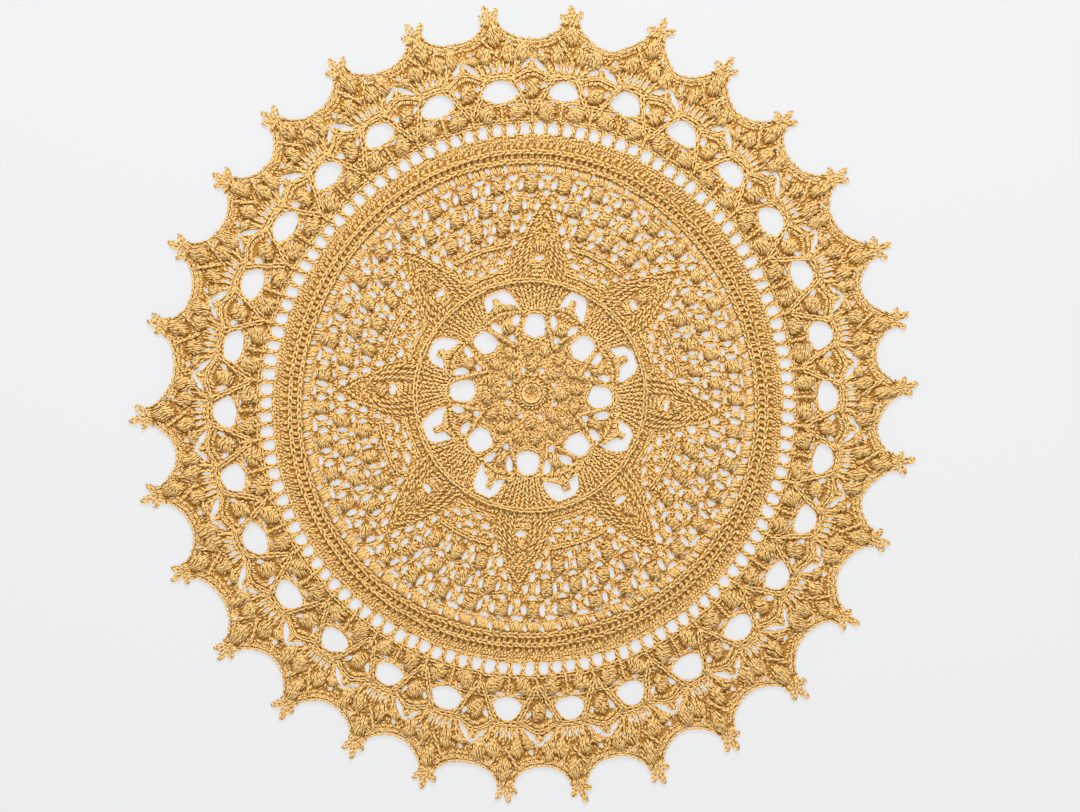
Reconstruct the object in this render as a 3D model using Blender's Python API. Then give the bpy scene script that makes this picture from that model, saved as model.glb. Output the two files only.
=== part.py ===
"""A round crocheted lace doily, lying flat, worked in one piece from the centre out.

Metres, +Z up. The origin is under the middle of the doily's box, the flat underside is at z = 0,
and +Y points to the top of the doily as it lies. Rounds are laid out by radius in millimetres and
by angle in degrees, clockwise from +Y. The plan below gives them as the pattern has them, and
`place` moves each point to where the hand-made rounds really lie.
"""

import math
from collections import namedtuple

import bmesh
import bpy
from mathutils import Vector

MM = 0.001

# Driving sizes, in millimetres.
THICKNESS = 2.2
RIB_WIDTH = 2.6
RIB_RISE = 0.7
STAR_RISE = 0.7
SUNK = 0.8  # how deep a raised form starts inside the sheet

# The pattern's repeats.
SECTORS = 8
SECTOR_STEP = 360 / SECTORS
SECTOR_TURN = 3.0  # the first star point's angle
REPEATS = 30
REPEAT_STEP = 360 / REPEATS
REPEAT_TURN = 5.0  # the first arch's angle

# Where the centres of the rounds lie. The medallion was worked a little off the edge's centre.
MEDALLION_CENTRE = Vector((4.0, 5.5))
EDGE_CENTRE = Vector((1.25, 1.25))
MEDALLION_REACH = 38.0
EVEN_REACH = 60.0  # inside this radius the rounds are even
UNEVEN_REACH = 130.0  # past this radius they are fully out of round
LADDER_REACH = 136.0
LEAN_START = 157.0
EDGE_REACH = 200.0

# How far the outer rounds are pulled out of round, how far the ribbed band is, and how far the
# rounds are twisted.
Wave = namedtuple("Wave", "count size at_deg")
PULL_MM = (Wave(1, 1.4, 60.0), Wave(2, 2.3, 5.0), Wave(3, 1.3, 9.0))
RIB_PULL_MM = (Wave(1, 1.0, -138.8), Wave(2, 0.4, -25.6), Wave(3, 0.8, -23.8))
RIB_MIDDLE = 118.0
RIB_SPREAD = 14.0
TWIST_DEG = (Wave(1, 1.8, 9.7), Wave(2, 0.8, -30.7))

# One row for each of the edge's points, clockwise from the top: how far its tip leans out of line
# with its arch, how far the tip reaches, and how far the dip after it reaches.
Point = namedtuple("Point", "lean_deg tip_mm dip_mm")
POINTS = tuple(
    Point(*row)
    for row in (
        (-0.3, 200.1, 180.0),
        (1.6, 204.9, 180.8),
        (0.7, 200.9, 179.2),
        (0.8, 197.8, 179.2),
        (0.5, 197.8, 178.5),
        (1.5, 199.4, 176.5),
        (0.4, 197.4, 176.4),
        (-1.4, 196.4, 176.2),
        (-2.1, 196.5, 174.6),
        (-1.8, 195.8, 177.6),
        (-0.8, 199.2, 181.8),
        (-0.1, 204.4, 183.0),
        (0.3, 204.4, 182.2),
        (0.1, 203.1, 182.4),
        (0.4, 202.0, 182.2),
        (-0.5, 201.5, 182.4),
        (0.1, 200.2, 179.1),
        (-0.2, 198.2, 179.8),
        (-0.4, 201.1, 179.9),
        (-0.4, 201.6, 181.0),
        (0.5, 199.2, 178.4),
        (0.3, 198.6, 176.6),
        (-0.5, 198.9, 176.8),
        (1.3, 194.1, 175.8),
        (0.6, 196.0, 175.9),
        (0.2, 194.4, 175.5),
        (-0.8, 197.4, 179.0),
        (-0.9, 198.9, 180.2),
        (-0.5, 199.1, 182.4),
        (-1.0, 199.8, 181.8),
    )
)

# One point of the edge as the pattern has it, from the dip to the tip.
DIP_RADIUS = 179.0
TIP_RADIUS = 199.5
SHOULDER_RADIUS = 193.5
SCALLOP_POWER = 2.2
SCALLOP_STEPS = (6.0, 5.0, 4.0, 3.0, 2.2)  # degrees from the tip
Bead = namedtuple("Bead", "radius deg")
TREFOIL = (
    Bead(190.0, 1.35),
    Bead(192.2, 1.75),
    Bead(194.6, 1.45),
    Bead(194.8, 0.75),
    Bead(198.6, 0.55),
)

# Open places, each as corners in its own repeat: radius in millimetres, degrees from its middle.
Corner = namedtuple("Corner", "radius deg")
LADDER_CELL = (
    Corner(130.3, -1.08),
    Corner(130.3, 1.08),
    Corner(134.6, 1.05),
    Corner(136.0, 0.0),
    Corner(134.9, -1.05),
)
LADDER_DEGREES = (-4.5, -1.5, 1.5, 4.5)
ARCH_OPENING = (
    Corner(147.4, 0.0),
    Corner(148.8, 2.2),
    Corner(150.8, 3.1),
    Corner(153.8, 2.6),
    Corner(156.2, 1.8),
    Corner(157.5, 0.7),
    Corner(157.5, -0.7),
    Corner(156.2, -1.8),
    Corner(153.8, -2.6),
    Corner(150.8, -3.1),
    Corner(148.8, -2.2),
)
CHEVRON_OPENING = (
    Corner(162.6, -2.4),
    Corner(165.9, -0.5),
    Corner(165.9, 0.5),
    Corner(162.6, 2.4),
    Corner(168.2, 0.9),
    Corner(168.2, -0.9),
)
MEDALLION_OPENING = (
    Corner(28.7, 0.5),
    Corner(30.8, 9.6),
    Corner(34.5, 8.2),
    Corner(39.0, 5.6),
    Corner(40.3, 1.5),
    Corner(40.0, -4.0),
    Corner(38.2, -6.6),
    Corner(34.0, -8.4),
    Corner(31.0, -9.6),
)
FAN_OPENING = (
    Corner(45.3, -9.0),
    Corner(46.5, -2.4),
    Corner(49.8, -1.4),
    Corner(49.8, 0.8),
    Corner(46.3, 1.8),
    Corner(43.4, 12.5),
    Corner(47.5, 11.0),
    Corner(52.0, 8.4),
    Corner(54.6, 5.0),
    Corner(54.6, -3.5),
    Corner(52.0, -6.4),
)
FAN_OPENING_DEG = 22.0  # from the star point


def lens(radius, width_deg, height):
    """An opening of four corners, pointed at its sides."""
    return (
        Corner(radius, -width_deg / 2),
        Corner(radius - height / 2, 0.0),
        Corner(radius, width_deg / 2),
        Corner(radius + height / 2, 0.0),
    )


def slot(radius, width_deg, height):
    """An opening of four corners, nearly square."""
    return (
        Corner(radius - height / 2, -width_deg / 2),
        Corner(radius - height / 2, width_deg / 2),
        Corner(radius + height / 2, width_deg / 2),
        Corner(radius + height / 2, -width_deg / 2),
    )


# The star sector's smaller openings: how each is shaped, and where it lies, in degrees clockwise
# from the star point.
Eyelet = namedtuple("Eyelet", "shape radius width_deg height degrees")
EYELETS = (
    Eyelet(slot, 69.0, 4.0, 2.4, (0.4,)),
    Eyelet(slot, 64.7, 3.8, 2.4, (20.5, 27.0)),
    Eyelet(slot, 68.2, 4.2, 2.7, (16.3, 24.0, 31.5)),
    Eyelet(slot, 84.5, 2.4, 4.6, (8.5, 38.6)),
    Eyelet(lens, 109.3, 3.0, 3.4, (1.3, 10.3, 19.3, 28.3, 37.3)),
)

# The raised forms: two ridges of chain round the ribbed band, and the corded star.
RIB_RADII = (116.8, 121.3)
RIB_STEPS = 54
STAR_ARMS = (
    Corner(59.5, -11.5),
    Corner(76.0, -6.4),
    Corner(95.0, 0.3),
    Corner(76.0, 7.0),
    Corner(59.5, 11.5),
    Corner(59.5, 6.0),
    Corner(82.0, 0.3),
    Corner(59.5, -6.0),
)


def mix(a, b, share):
    return a + (b - a) * share


def ramp(value, start, end):
    return min(max((value - start) / (end - start), 0.0), 1.0)


def waves(table, degrees):
    return sum(
        wave.size * math.cos(math.radians(wave.count * (degrees - wave.at_deg)))
        for wave in table
    )


def edge_at(degrees):
    """How far the real edge reaches, how far the pattern's does, and the lean there."""
    index = round((degrees - REPEAT_TURN) / REPEAT_STEP)
    off = degrees - REPEAT_TURN - index * REPEAT_STEP
    point = POINTS[index % REPEATS]
    beside = POINTS[(index + (1 if off > 0 else -1)) % REPEATS]
    dip_mm = point.dip_mm if off > 0 else beside.dip_mm
    to_tip = 0.5 + 0.5 * math.cos(math.tau * off / REPEAT_STEP)
    reach = mix(dip_mm, point.tip_mm, to_tip)
    plain_reach = mix(DIP_RADIUS, TIP_RADIUS, to_tip)
    lean = mix(point.lean_deg, beside.lean_deg, 0.5 - 0.5 * to_tip)
    return reach, plain_reach, lean


def place(radius, degrees):
    """The pattern's point, in millimetres, where it lies on this doily."""
    uneven = ramp(radius, EVEN_REACH, UNEVEN_REACH)
    pull = waves(PULL_MM, degrees)
    turned = degrees + waves(TWIST_DEG, degrees) * uneven
    at_ribs = max(1 - abs(radius - RIB_MIDDLE) / RIB_SPREAD, 0.0)
    reach = radius + pull * uneven + waves(RIB_PULL_MM, degrees) * at_ribs
    if radius > LADDER_REACH:
        edge, plain_edge, lean = edge_at(degrees)
        stretch = (edge - LADDER_REACH - pull) / (plain_edge - LADDER_REACH)
        reach = LADDER_REACH + pull + (radius - LADDER_REACH) * stretch
        turned += lean * ramp(radius, LEAN_START, EDGE_REACH)
    centre = MEDALLION_CENTRE.lerp(EDGE_CENTRE, ramp(radius, MEDALLION_REACH, LADDER_REACH))
    angle = math.radians(turned)
    return centre + reach * Vector((math.sin(angle), math.cos(angle)))


def placed(corners, middle_deg):
    return [place(corner.radius, middle_deg + corner.deg) for corner in corners]


def edge_outline():
    """The doily's edge: scallops between points, each point ending in three beads of chain."""
    rise = SHOULDER_RADIUS - DIP_RADIUS
    half_step = REPEAT_STEP / 2
    side = [
        Corner(DIP_RADIUS + rise * (1 - deg / half_step) ** SCALLOP_POWER, deg)
        for deg in SCALLOP_STEPS
    ]
    side += [Corner(bead.radius, bead.deg) for bead in TREFOIL]
    left = [Corner(corner.radius, -corner.deg) for corner in side]
    right = [corner for corner in reversed(side) if corner.deg < half_step]
    tip = [Corner(TIP_RADIUS, 0.0)]
    outline = []
    for repeat in range(REPEATS):
        middle = REPEAT_TURN + repeat * REPEAT_STEP
        outline += placed(left + tip + right, middle)
    return outline


def openings():
    """Every opening cut through the sheet, the largest of each repeat."""
    found = []
    for repeat in range(REPEATS):
        middle = REPEAT_TURN + repeat * REPEAT_STEP
        found.append(placed(ARCH_OPENING, middle))
        found.append(placed(CHEVRON_OPENING, middle + REPEAT_STEP / 2))
        for degrees in LADDER_DEGREES:
            found.append(placed(LADDER_CELL, middle + degrees))
    for sector in range(SECTORS):
        middle = SECTOR_TURN + sector * SECTOR_STEP
        found.append(placed(MEDALLION_OPENING, middle))
        found.append(placed(FAN_OPENING, middle + FAN_OPENING_DEG))
        for eyelet in EYELETS:
            corners = eyelet.shape(eyelet.radius, eyelet.width_deg, eyelet.height)
            for degrees in eyelet.degrees:
                found.append(placed(corners, middle + degrees))
    return found


def clear_scene():
    for item in list(bpy.data.objects):
        bpy.data.objects.remove(item, do_unlink=True)


def collection_named(name):
    made = bpy.data.collections.new(name)
    bpy.context.scene.collection.children.link(made)
    return made


def thread_material():
    material = bpy.data.materials.new("ochre thread")
    material.use_nodes = True
    shader = material.node_tree.nodes["Principled BSDF"]
    shader.inputs["Base Color"].default_value = (0.62, 0.35, 0.10, 1.0)
    shader.inputs["Roughness"].default_value = 0.7
    shader.inputs["Metallic"].default_value = 0.0
    return material


def flat_curve(name, outlines, low, high):
    """A 2D curve of closed outlines, as thick as from low to high. Inner outlines are cut out."""
    curve = bpy.data.curves.new(name, "CURVE")
    curve.dimensions = "2D"
    curve.fill_mode = "BOTH"
    curve.extrude = (high - low) / 2 * MM
    for outline in outlines:
        spline = curve.splines.new("POLY")
        spline.points.add(len(outline) - 1)
        for point, corner in zip(spline.points, outline):
            point.co = (corner.x * MM, corner.y * MM, 0.0, 1.0)
        spline.use_cyclic_u = True
    made = bpy.data.objects.new(name, curve)
    made.location.z = (low + high) / 2 * MM
    return made


def ring_curve(name, radius):
    """A ridge that follows one round, sunk so that its back stands over the sheet."""
    curve = bpy.data.curves.new(name, "CURVE")
    curve.dimensions = "3D"
    curve.bevel_depth = RIB_WIDTH / 2 * MM
    curve.bevel_resolution = 0
    height = THICKNESS + RIB_RISE - RIB_WIDTH / 2
    spline = curve.splines.new("POLY")
    spline.points.add(RIB_STEPS - 1)
    for step, point in enumerate(spline.points):
        spot = place(radius, 360 * step / RIB_STEPS)
        point.co = (spot.x * MM, spot.y * MM, height * MM, 1.0)
    spline.use_cyclic_u = True
    return bpy.data.objects.new(name, curve)


def as_mesh(curved, collection):
    """The curve's object as a mesh object of the same name, with its seams welded."""
    name = curved.name
    collection.objects.link(curved)
    bpy.context.view_layer.update()
    graph = bpy.context.evaluated_depsgraph_get()
    mesh = bpy.data.meshes.new_from_object(curved.evaluated_get(graph))
    matrix = curved.matrix_world.copy()
    bpy.data.objects.remove(curved, do_unlink=True)
    shape = bmesh.new()
    shape.from_mesh(mesh)
    bmesh.ops.remove_doubles(shape, verts=shape.verts, dist=0.01 * MM)
    bmesh.ops.recalc_face_normals(shape, faces=shape.faces)
    shape.to_mesh(mesh)
    shape.free()
    made = bpy.data.objects.new(name, mesh)
    made.matrix_world = matrix
    collection.objects.link(made)
    return made


def helper(made):
    made.hide_render = True
    made.display_type = "WIRE"
    return made


def unite(base, other):
    joint = base.modifiers.new(other.name, "BOOLEAN")
    joint.operation = "UNION"
    joint.solver = "EXACT"
    joint.object = other


def main():
    clear_scene()
    parts = collection_named("doily")
    helpers = collection_named("raised forms")
    sheet = flat_curve("doily", [edge_outline()] + openings(), 0.0, THICKNESS)
    doily = as_mesh(sheet, parts)
    for number, radius in enumerate(RIB_RADII, start=1):
        unite(doily, helper(as_mesh(ring_curve(f"rib_{number}", radius), helpers)))
    stars = [
        placed(STAR_ARMS, SECTOR_TURN + sector * SECTOR_STEP) for sector in range(SECTORS)
    ]
    star = flat_curve("star", stars, THICKNESS - SUNK, THICKNESS + STAR_RISE)
    unite(doily, helper(as_mesh(star, helpers)))
    doily.data.materials.append(thread_material())


main()
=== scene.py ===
"""A round crocheted lace doily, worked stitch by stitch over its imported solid.

The rounds are laid out as the pattern has them, by degrees clockwise from +Y and by radius in
millimetres, and `place` moves each point to where the hand-made rounds really lie. Every stitch is
thread: smooth lines through a few named points, swept into closed tubes and joined round by round.
"""

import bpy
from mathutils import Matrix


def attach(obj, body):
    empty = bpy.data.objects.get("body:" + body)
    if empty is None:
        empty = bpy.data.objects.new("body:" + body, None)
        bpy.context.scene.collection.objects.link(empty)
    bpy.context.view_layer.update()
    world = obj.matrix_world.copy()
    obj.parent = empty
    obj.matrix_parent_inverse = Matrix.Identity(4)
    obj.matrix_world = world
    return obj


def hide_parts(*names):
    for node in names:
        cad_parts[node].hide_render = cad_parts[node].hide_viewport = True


bl_info = {
    "name": "Crocheted lace doily",
    "version": (1, 0, 0),
    "blender": (4, 5, 0),
    "location": "3D View > Sidebar > Doily",
    "description": "Works a round lace doily in ochre cotton, round by round, and lights it",
    "category": "Object",
}

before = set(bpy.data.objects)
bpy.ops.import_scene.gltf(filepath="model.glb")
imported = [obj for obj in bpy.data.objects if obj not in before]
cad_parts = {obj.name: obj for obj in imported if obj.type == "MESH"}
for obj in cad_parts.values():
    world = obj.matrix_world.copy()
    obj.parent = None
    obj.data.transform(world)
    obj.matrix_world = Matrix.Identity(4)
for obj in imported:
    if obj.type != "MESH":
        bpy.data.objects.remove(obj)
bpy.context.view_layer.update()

import functools
import math
from collections import namedtuple

import bpy
import numpy as np
from mathutils import Vector

NODE = "doily"
BODY = "root"
MM = 0.001
TAU = math.tau


def turns_of(count, first):
    """The turns of a round's repeats, in degrees, from the first one's."""
    return first + np.arange(count) * 360 / count


# The pattern's repeats: eight sectors inside the band, and thirty repeats outside it.
SECTORS = 8
SECTOR_TURN = 3.0
SECTOR_TURNS = turns_of(SECTORS, SECTOR_TURN)
REPEATS = 30
REPEAT_STEP = 360 / REPEATS
REPEAT_TURN = 5.0
REPEAT_TURNS = turns_of(REPEATS, REPEAT_TURN)

# How unevenly its rounds lie, as on the solid.
MEDALLION_CENTRE = np.array((4.0, 5.5))
EDGE_CENTRE = np.array((1.25, 1.25))
MEDALLION_REACH = 38.0
EVEN_REACH = 60.0
UNEVEN_REACH = 130.0
LADDER_REACH = 136.0
LEAN_START = 157.0
EDGE_REACH = 200.0
RIB_MIDDLE = 118.0
RIB_SPREAD = 14.0
Wave = namedtuple("Wave", "count size at_deg")
PULL_MM = (Wave(1, 1.4, 60.0), Wave(2, 2.3, 5.0), Wave(3, 1.3, 9.0))
RIB_PULL_MM = (Wave(1, 1.0, -138.8), Wave(2, 0.4, -25.6), Wave(3, 0.8, -23.8))
TWIST_DEG = (Wave(1, 1.8, 9.7), Wave(2, 0.8, -30.7))
# The net of bobbles is turned a little further than the rounds inside and outside it.
NET_TWIST_DEG = (Wave(0, 0.8, 0.0), Wave(1, 0.75, 85.0), Wave(2, 0.34, -30.0))
NET_START = (58.0, 85.0)
NET_END = (128.0, 105.0)

# Clockwise from the top, for each of the edge's points: its tip's lean in degrees, how far the tip
# reaches and how far the dip after it reaches.
POINTS = np.array(
    (
        (-0.3, 200.1, 180.0),
        (1.6, 204.9, 180.8),
        (0.7, 200.9, 179.2),
        (0.8, 197.8, 179.2),
        (0.5, 197.8, 178.5),
        (1.5, 199.4, 176.5),
        (0.4, 197.4, 176.4),
        (-1.4, 196.4, 176.2),
        (-2.1, 196.5, 174.6),
        (-1.8, 195.8, 177.6),
        (-0.8, 199.2, 181.8),
        (-0.1, 204.4, 183.0),
        (0.3, 204.4, 182.2),
        (0.1, 203.1, 182.4),
        (0.4, 202.0, 182.2),
        (-0.5, 201.5, 182.4),
        (0.1, 200.2, 179.1),
        (-0.2, 198.2, 179.8),
        (-0.4, 201.1, 179.9),
        (-0.4, 201.6, 181.0),
        (0.5, 199.2, 178.4),
        (0.3, 198.6, 176.6),
        (-0.5, 198.9, 176.8),
        (1.3, 194.1, 175.8),
        (0.6, 196.0, 175.9),
        (0.2, 194.4, 175.5),
        (-0.8, 197.4, 179.0),
        (-0.9, 198.9, 180.2),
        (-0.5, 199.1, 182.4),
        (-1.0, 199.8, 181.8),
    )
)
DIP_RADIUS = 179.0
TIP_RADIUS = 199.5
SHOULDER_RADIUS = 193.5
SCALLOP_POWER = 2.2

# The thread as tubes: their sides, how thin their ends are, and their lowest height in mm.
THREAD_SIDES = 3
END_SHARE = 0.72
LOWEST = 0.02
# How much further along its plies each tube starts than the one before, and at most, in mm.
PLY_SHIFT = 1.37
PLY_RANGE = 7.0
THREAD_UVS = "UVMap"

# Heights of the sheet under the stitches, in millimetres over the table.
SHEET_LOW = 0.75
SHEET_HIGH = 1.05


def mix(a, b, share):
    """What lies this share of the way from a to b."""
    return a + (b - a) * share


def ramp(value, start, end):
    """From 0 at start to 1 at end."""
    return np.clip((value - start) / (end - start), 0.0, 1.0)


def waves(table, degrees):
    """What the table's waves add up to at these degrees."""
    return sum(
        wave.size * np.cos(np.radians(wave.count * (degrees - wave.at_deg))) for wave in table
    )


def edge_at(degrees):
    """How far the real edge reaches, how far the pattern's does, and the lean there."""
    index = np.rint((degrees - REPEAT_TURN) / REPEAT_STEP).astype(int)
    off = degrees - REPEAT_TURN - index * REPEAT_STEP
    beside = index + np.where(off > 0, 1, -1)
    lean, tip, dip = POINTS[index % REPEATS].transpose(-1, *range(degrees.ndim))
    lean_beside, _, dip_beside = POINTS[beside % REPEATS].transpose(-1, *range(degrees.ndim))
    to_tip = 0.5 + 0.5 * np.cos(TAU * off / REPEAT_STEP)
    reach = mix(np.where(off > 0, dip, dip_beside), tip, to_tip)
    plain_reach = mix(DIP_RADIUS, TIP_RADIUS, to_tip)
    return reach, plain_reach, mix(lean, lean_beside, 0.5 - 0.5 * to_tip)


def place(degrees, radius):
    """Points of the pattern, in millimetres, where they lie on this doily."""
    uneven = ramp(radius, EVEN_REACH, UNEVEN_REACH)
    pull = waves(PULL_MM, degrees)
    in_net = ramp(radius, *NET_START) * ramp(radius, *NET_END)
    turned = degrees + waves(TWIST_DEG, degrees) * uneven + waves(NET_TWIST_DEG, degrees) * in_net
    at_ribs = np.clip(1 - abs(radius - RIB_MIDDLE) / RIB_SPREAD, 0.0, None)
    reach = radius + pull * uneven + waves(RIB_PULL_MM, degrees) * at_ribs
    edge, plain_edge, lean = edge_at(degrees)
    stretch = (edge - LADDER_REACH - pull) / (plain_edge - LADDER_REACH)
    outside = radius > LADDER_REACH
    reach = np.where(outside, LADDER_REACH + pull + (radius - LADDER_REACH) * stretch, reach)
    turned = turned + np.where(outside, lean * ramp(radius, LEAN_START, EDGE_REACH), 0.0)
    share = ramp(radius, MEDALLION_REACH, LADDER_REACH)[..., None]
    angle = np.radians(turned)
    spoke = np.stack((np.sin(angle), np.cos(angle)), axis=-1)
    return mix(MEDALLION_CENTRE, EDGE_CENTRE, share) + reach[..., None] * spoke


# --- Lines of thread. A strand is an array of points: degrees, radius in mm, height in mm. ---


def smooth(controls, points, trim=0):
    """Even samples of smooth lines through controls, which lie along the last axis but one.

    The lines run from this many controls after the first to as many before the last.
    """
    controls = np.asarray(controls, float)
    count = controls.shape[-2]
    at = np.linspace(trim, count - 1 - trim, points)
    index = np.minimum(at.astype(int), count - 2)
    t = (at - index)[:, None]
    before, start, end, after = (
        controls[..., np.clip(index + step, 0, count - 1), :] for step in (-1, 0, 1, 2)
    )
    return 0.5 * (
        2 * start
        + (end - before) * t
        + (2 * before - 5 * start + 4 * end - after) * t**2
        + (3 * start - before - 3 * end + after) * t**3
    )


# How many points a smooth path has.
LINE_POINTS = 25


def line(*corners):
    """A smooth path through corners of degrees and radius, or a straight one between two."""
    return smooth(corners, LINE_POINTS) if len(corners) > 2 else np.array(corners, float)


def arc(radius, start=0.0, end=360.0):
    """A path round the middle, clockwise from start to end."""
    return np.array(((start, radius), (end, radius)), float)


def steps_of(path):
    """The lengths of a path's steps."""
    middle = (path[1:, 1] + path[:-1, 1]) / 2
    return np.hypot(np.radians(np.diff(path[:, 0])) * middle, np.diff(path[:, 1]))


def along(path, share):
    """Points at these shares of the path's length. The path goes straight on past its ends."""
    steps = steps_of(path)
    reach = np.concatenate(([0.0], np.cumsum(steps)))
    want = np.asarray(share, float) * reach[-1]
    index = np.clip(np.searchsorted(reach, want, side="right") - 1, 0, len(steps) - 1)
    part = (want - reach[index]) / steps[index]
    return path[index] + (path[index + 1] - path[index]) * part[..., None]


def aside(path, mm):
    """The path moved to its left by mm, which is outwards where it runs clockwise.

    Each point of the path may have its own mm.
    """
    run = np.gradient(path[:, :2], axis=0)
    across = np.radians(run[:, 0]) * path[:, 1]
    length = np.hypot(across, run[:, 1])
    moved_deg = np.degrees(-run[:, 1] / length * mm / path[:, 1])
    return path[:, :2] + np.stack((moved_deg, across / length * mm), axis=1)


# Stitches, each as strands of points: along the row in stitches, across the row from its inner to
# its outer path, and height in mm.
CHAIN = (
    ((-0.30, 0.52, 1.05), (0.12, 0.14, 1.45), (0.66, 0.08, 1.60), (1.14, 0.44, 1.40)),
    ((-0.30, 0.48, 1.05), (0.12, 0.86, 1.45), (0.66, 0.92, 1.60), (1.14, 0.56, 1.40)),
)
SINGLE = (
    ((0.44, -0.15, 0.9), (0.36, 0.28, 1.65), (0.12, 0.70, 1.70), (-0.04, 1.10, 1.15)),
    ((0.56, -0.15, 0.9), (0.66, 0.28, 1.65), (0.88, 0.70, 1.60), (0.98, 1.10, 1.15)),
    ((-0.10, 0.98, 0.95), (0.45, 1.08, 1.55), (1.00, 0.90, 1.15)),
)
POSTS = (
    ((0.25, -0.05, 1.0), (0.14, 0.30, 1.60), (0.28, 0.66, 1.70), (0.20, 1.05, 1.1)),
    ((0.75, -0.05, 1.0), (0.66, 0.30, 1.75), (0.80, 0.66, 1.60), (0.70, 1.05, 1.1)),
)
VEES = (
    ((-0.12, 0.46, 0.9), (0.10, 0.00, 1.35), (0.62, 0.20, 1.75), (1.16, 0.46, 1.45)),
    ((-0.12, 0.54, 0.9), (0.10, 1.00, 1.35), (0.62, 0.80, 1.75), (1.16, 0.54, 1.45)),
)
BARS = (
    ((0.02, -0.08, 1.2), (0.00, 0.30, 1.75), (0.10, 0.70, 1.90), (0.24, 1.08, 1.7)),
    ((0.30, -0.08, 1.2), (0.26, 0.30, 1.75), (0.36, 0.70, 1.90), (0.52, 1.08, 1.7)),
)
BUDS = (
    ((0.14, -0.05, 1.05), (0.20, 0.30, 1.70), (0.26, 0.70, 1.70), (0.22, 1.05, 1.1)),
    ((0.64, -0.05, 1.05), (0.68, 0.30, 1.60), (0.78, 0.70, 1.65), (0.76, 1.05, 1.1)),
)
TWIST = (((-0.30, 0.00, 1.1), (0.15, 0.30, 1.75), (0.75, 0.70, 1.75), (1.20, 1.00, 1.1)),)
DASHES = (
    ((0.00, 0.00, 1.05), (0.22, 0.28, 1.60), (0.46, 0.70, 1.65), (0.62, 1.00, 1.1)),
    ((0.52, -0.06, 1.0), (0.70, 0.22, 1.45), (0.92, 0.60, 1.50), (1.10, 0.92, 1.0)),
)
# How many points each strand of a stitch has once it is worked.
STITCH_POINTS = 4


def worked(inner, outer, count, stitch, lift=0.0):
    """Strands of a row of stitches, worked between two paths."""
    found = []
    for strand in stitch:
        shape = smooth(strand, STITCH_POINTS)
        share = (np.arange(count)[:, None] + shape[:, 0]) / count
        spot = mix(along(inner, share), along(outer, share), shape[:, 1][:, None])
        height = np.broadcast_to(shape[:, 2] + lift, spot.shape[:-1])
        found.append(np.concatenate((spot, height[..., None]), axis=-1))
    return np.concatenate(found)


def chain(path, count, width, lift=0.0, stitch=CHAIN):
    """A braid of chain stitches, or of another stitch, along a path."""
    return worked(aside(path, -width / 2), aside(path, width / 2), count, stitch, lift)


def rope(path, pitch, width, lift, leaning=1):
    """A cord of short turns of thread laid over a path, leaning one way (1) or the other (-1)."""
    count = round(steps_of(path).sum() / pitch)
    edges = (aside(path, -width / 2), aside(path, width / 2))
    return worked(*edges[::leaning], count, TWIST, lift)


# How far a cord's strands rise and fall, in mm.
CORD_RISE = 0.45


def cord(path, turns, width, points, height=1.5, phase=0.0):
    """Two strands twisted round each other along a path."""
    share = np.linspace(0, 1, points)
    spine = along(path, share)
    found = []
    for start in (0.0, 0.5):
        turn = TAU * (turns * share + start) + phase
        spot = aside(spine, width / 2 * np.sin(turn))
        found.append(np.column_stack((spot, height + CORD_RISE * np.cos(turn))))
    return np.array(found)


# A bobble's width, height and rise in mm, its turn in degrees, how many wraps it has, and how far
# they wave in mm.
Dome = namedtuple("Dome", "width height rise turn wraps wave")
# Each wrap is two dashes, of so many points. They reach a little past each other, meet at places
# that shift from wrap to wrap, slant, and dip at their ends. The slant and the dip are in mm.
WRAP_DASHES = 2
DASH_POINTS = 5
DASH_REACH = 1.12
DASH_SHIFT = 0.22
SHIFT_STEP = 2.1
DASH_SLANT = 0.34
DASH_DIP = 0.45
# The waves: radians from a wrap's middle to its end and from the middle wrap to the last, and
# their size at a wrap's middle.
WAVE_BENDS = 3.4
WAVE_DRIFT = 1.6
WAVE_MIDDLE = 1.15
# A dome's foot over the table in mm, and how far towards its outline the last wraps and the ends
# of every wrap lie.
DOME_FOOT = 1.0
DOME_SPAN = 0.92
WRAP_SPAN = 0.98


def lump(degrees, radius, dome, phase):
    """A bobble: an oval dome of wavy wraps side by side, each in dashes."""
    angle = math.radians(dome.turn)
    t = np.linspace(-1, 1, DASH_POINTS)
    found = []
    for wrap in range(dome.wraps):
        v = (wrap + 0.5) / dome.wraps * 2 - 1
        bulge = math.sqrt(1 - (DOME_SPAN * v) ** 2)
        shift = DASH_SHIFT * math.sin(SHIFT_STEP * wrap + 3 * phase)
        for dash in range(WRAP_DASHES):
            middle = (2 * dash + 1) / WRAP_DASHES - 1 + shift
            u = np.clip(middle + t * DASH_REACH / WRAP_DASHES, -1, 1)
            wave = np.sin(WAVE_BENDS * u + phase + WAVE_DRIFT * v) * (WAVE_MIDDLE - u**2)
            across = v + (DASH_SLANT * t + dome.wave * wave) * 2 / dome.height
            x = (u * bulge * math.cos(angle) - across * math.sin(angle)) * dome.width / 2
            y = (u * bulge * math.sin(angle) + across * math.cos(angle)) * dome.height / 2
            z = DOME_FOOT + dome.rise * bulge * np.sqrt(1 - (WRAP_SPAN * u) ** 2) - DASH_DIP * t**4
            reach = radius + y
            found.append(np.column_stack((degrees + np.degrees(x / reach), reach, z)))
    return np.array(found)


# How the sizes of bobbles and of picots vary, and how far picots lean either way, in degrees.
BOBBLE_SIZES = (0.92, 1.08)
PICOT_SIZES = (0.9, 1.12)
PICOT_SWAY = 12.0


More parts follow.
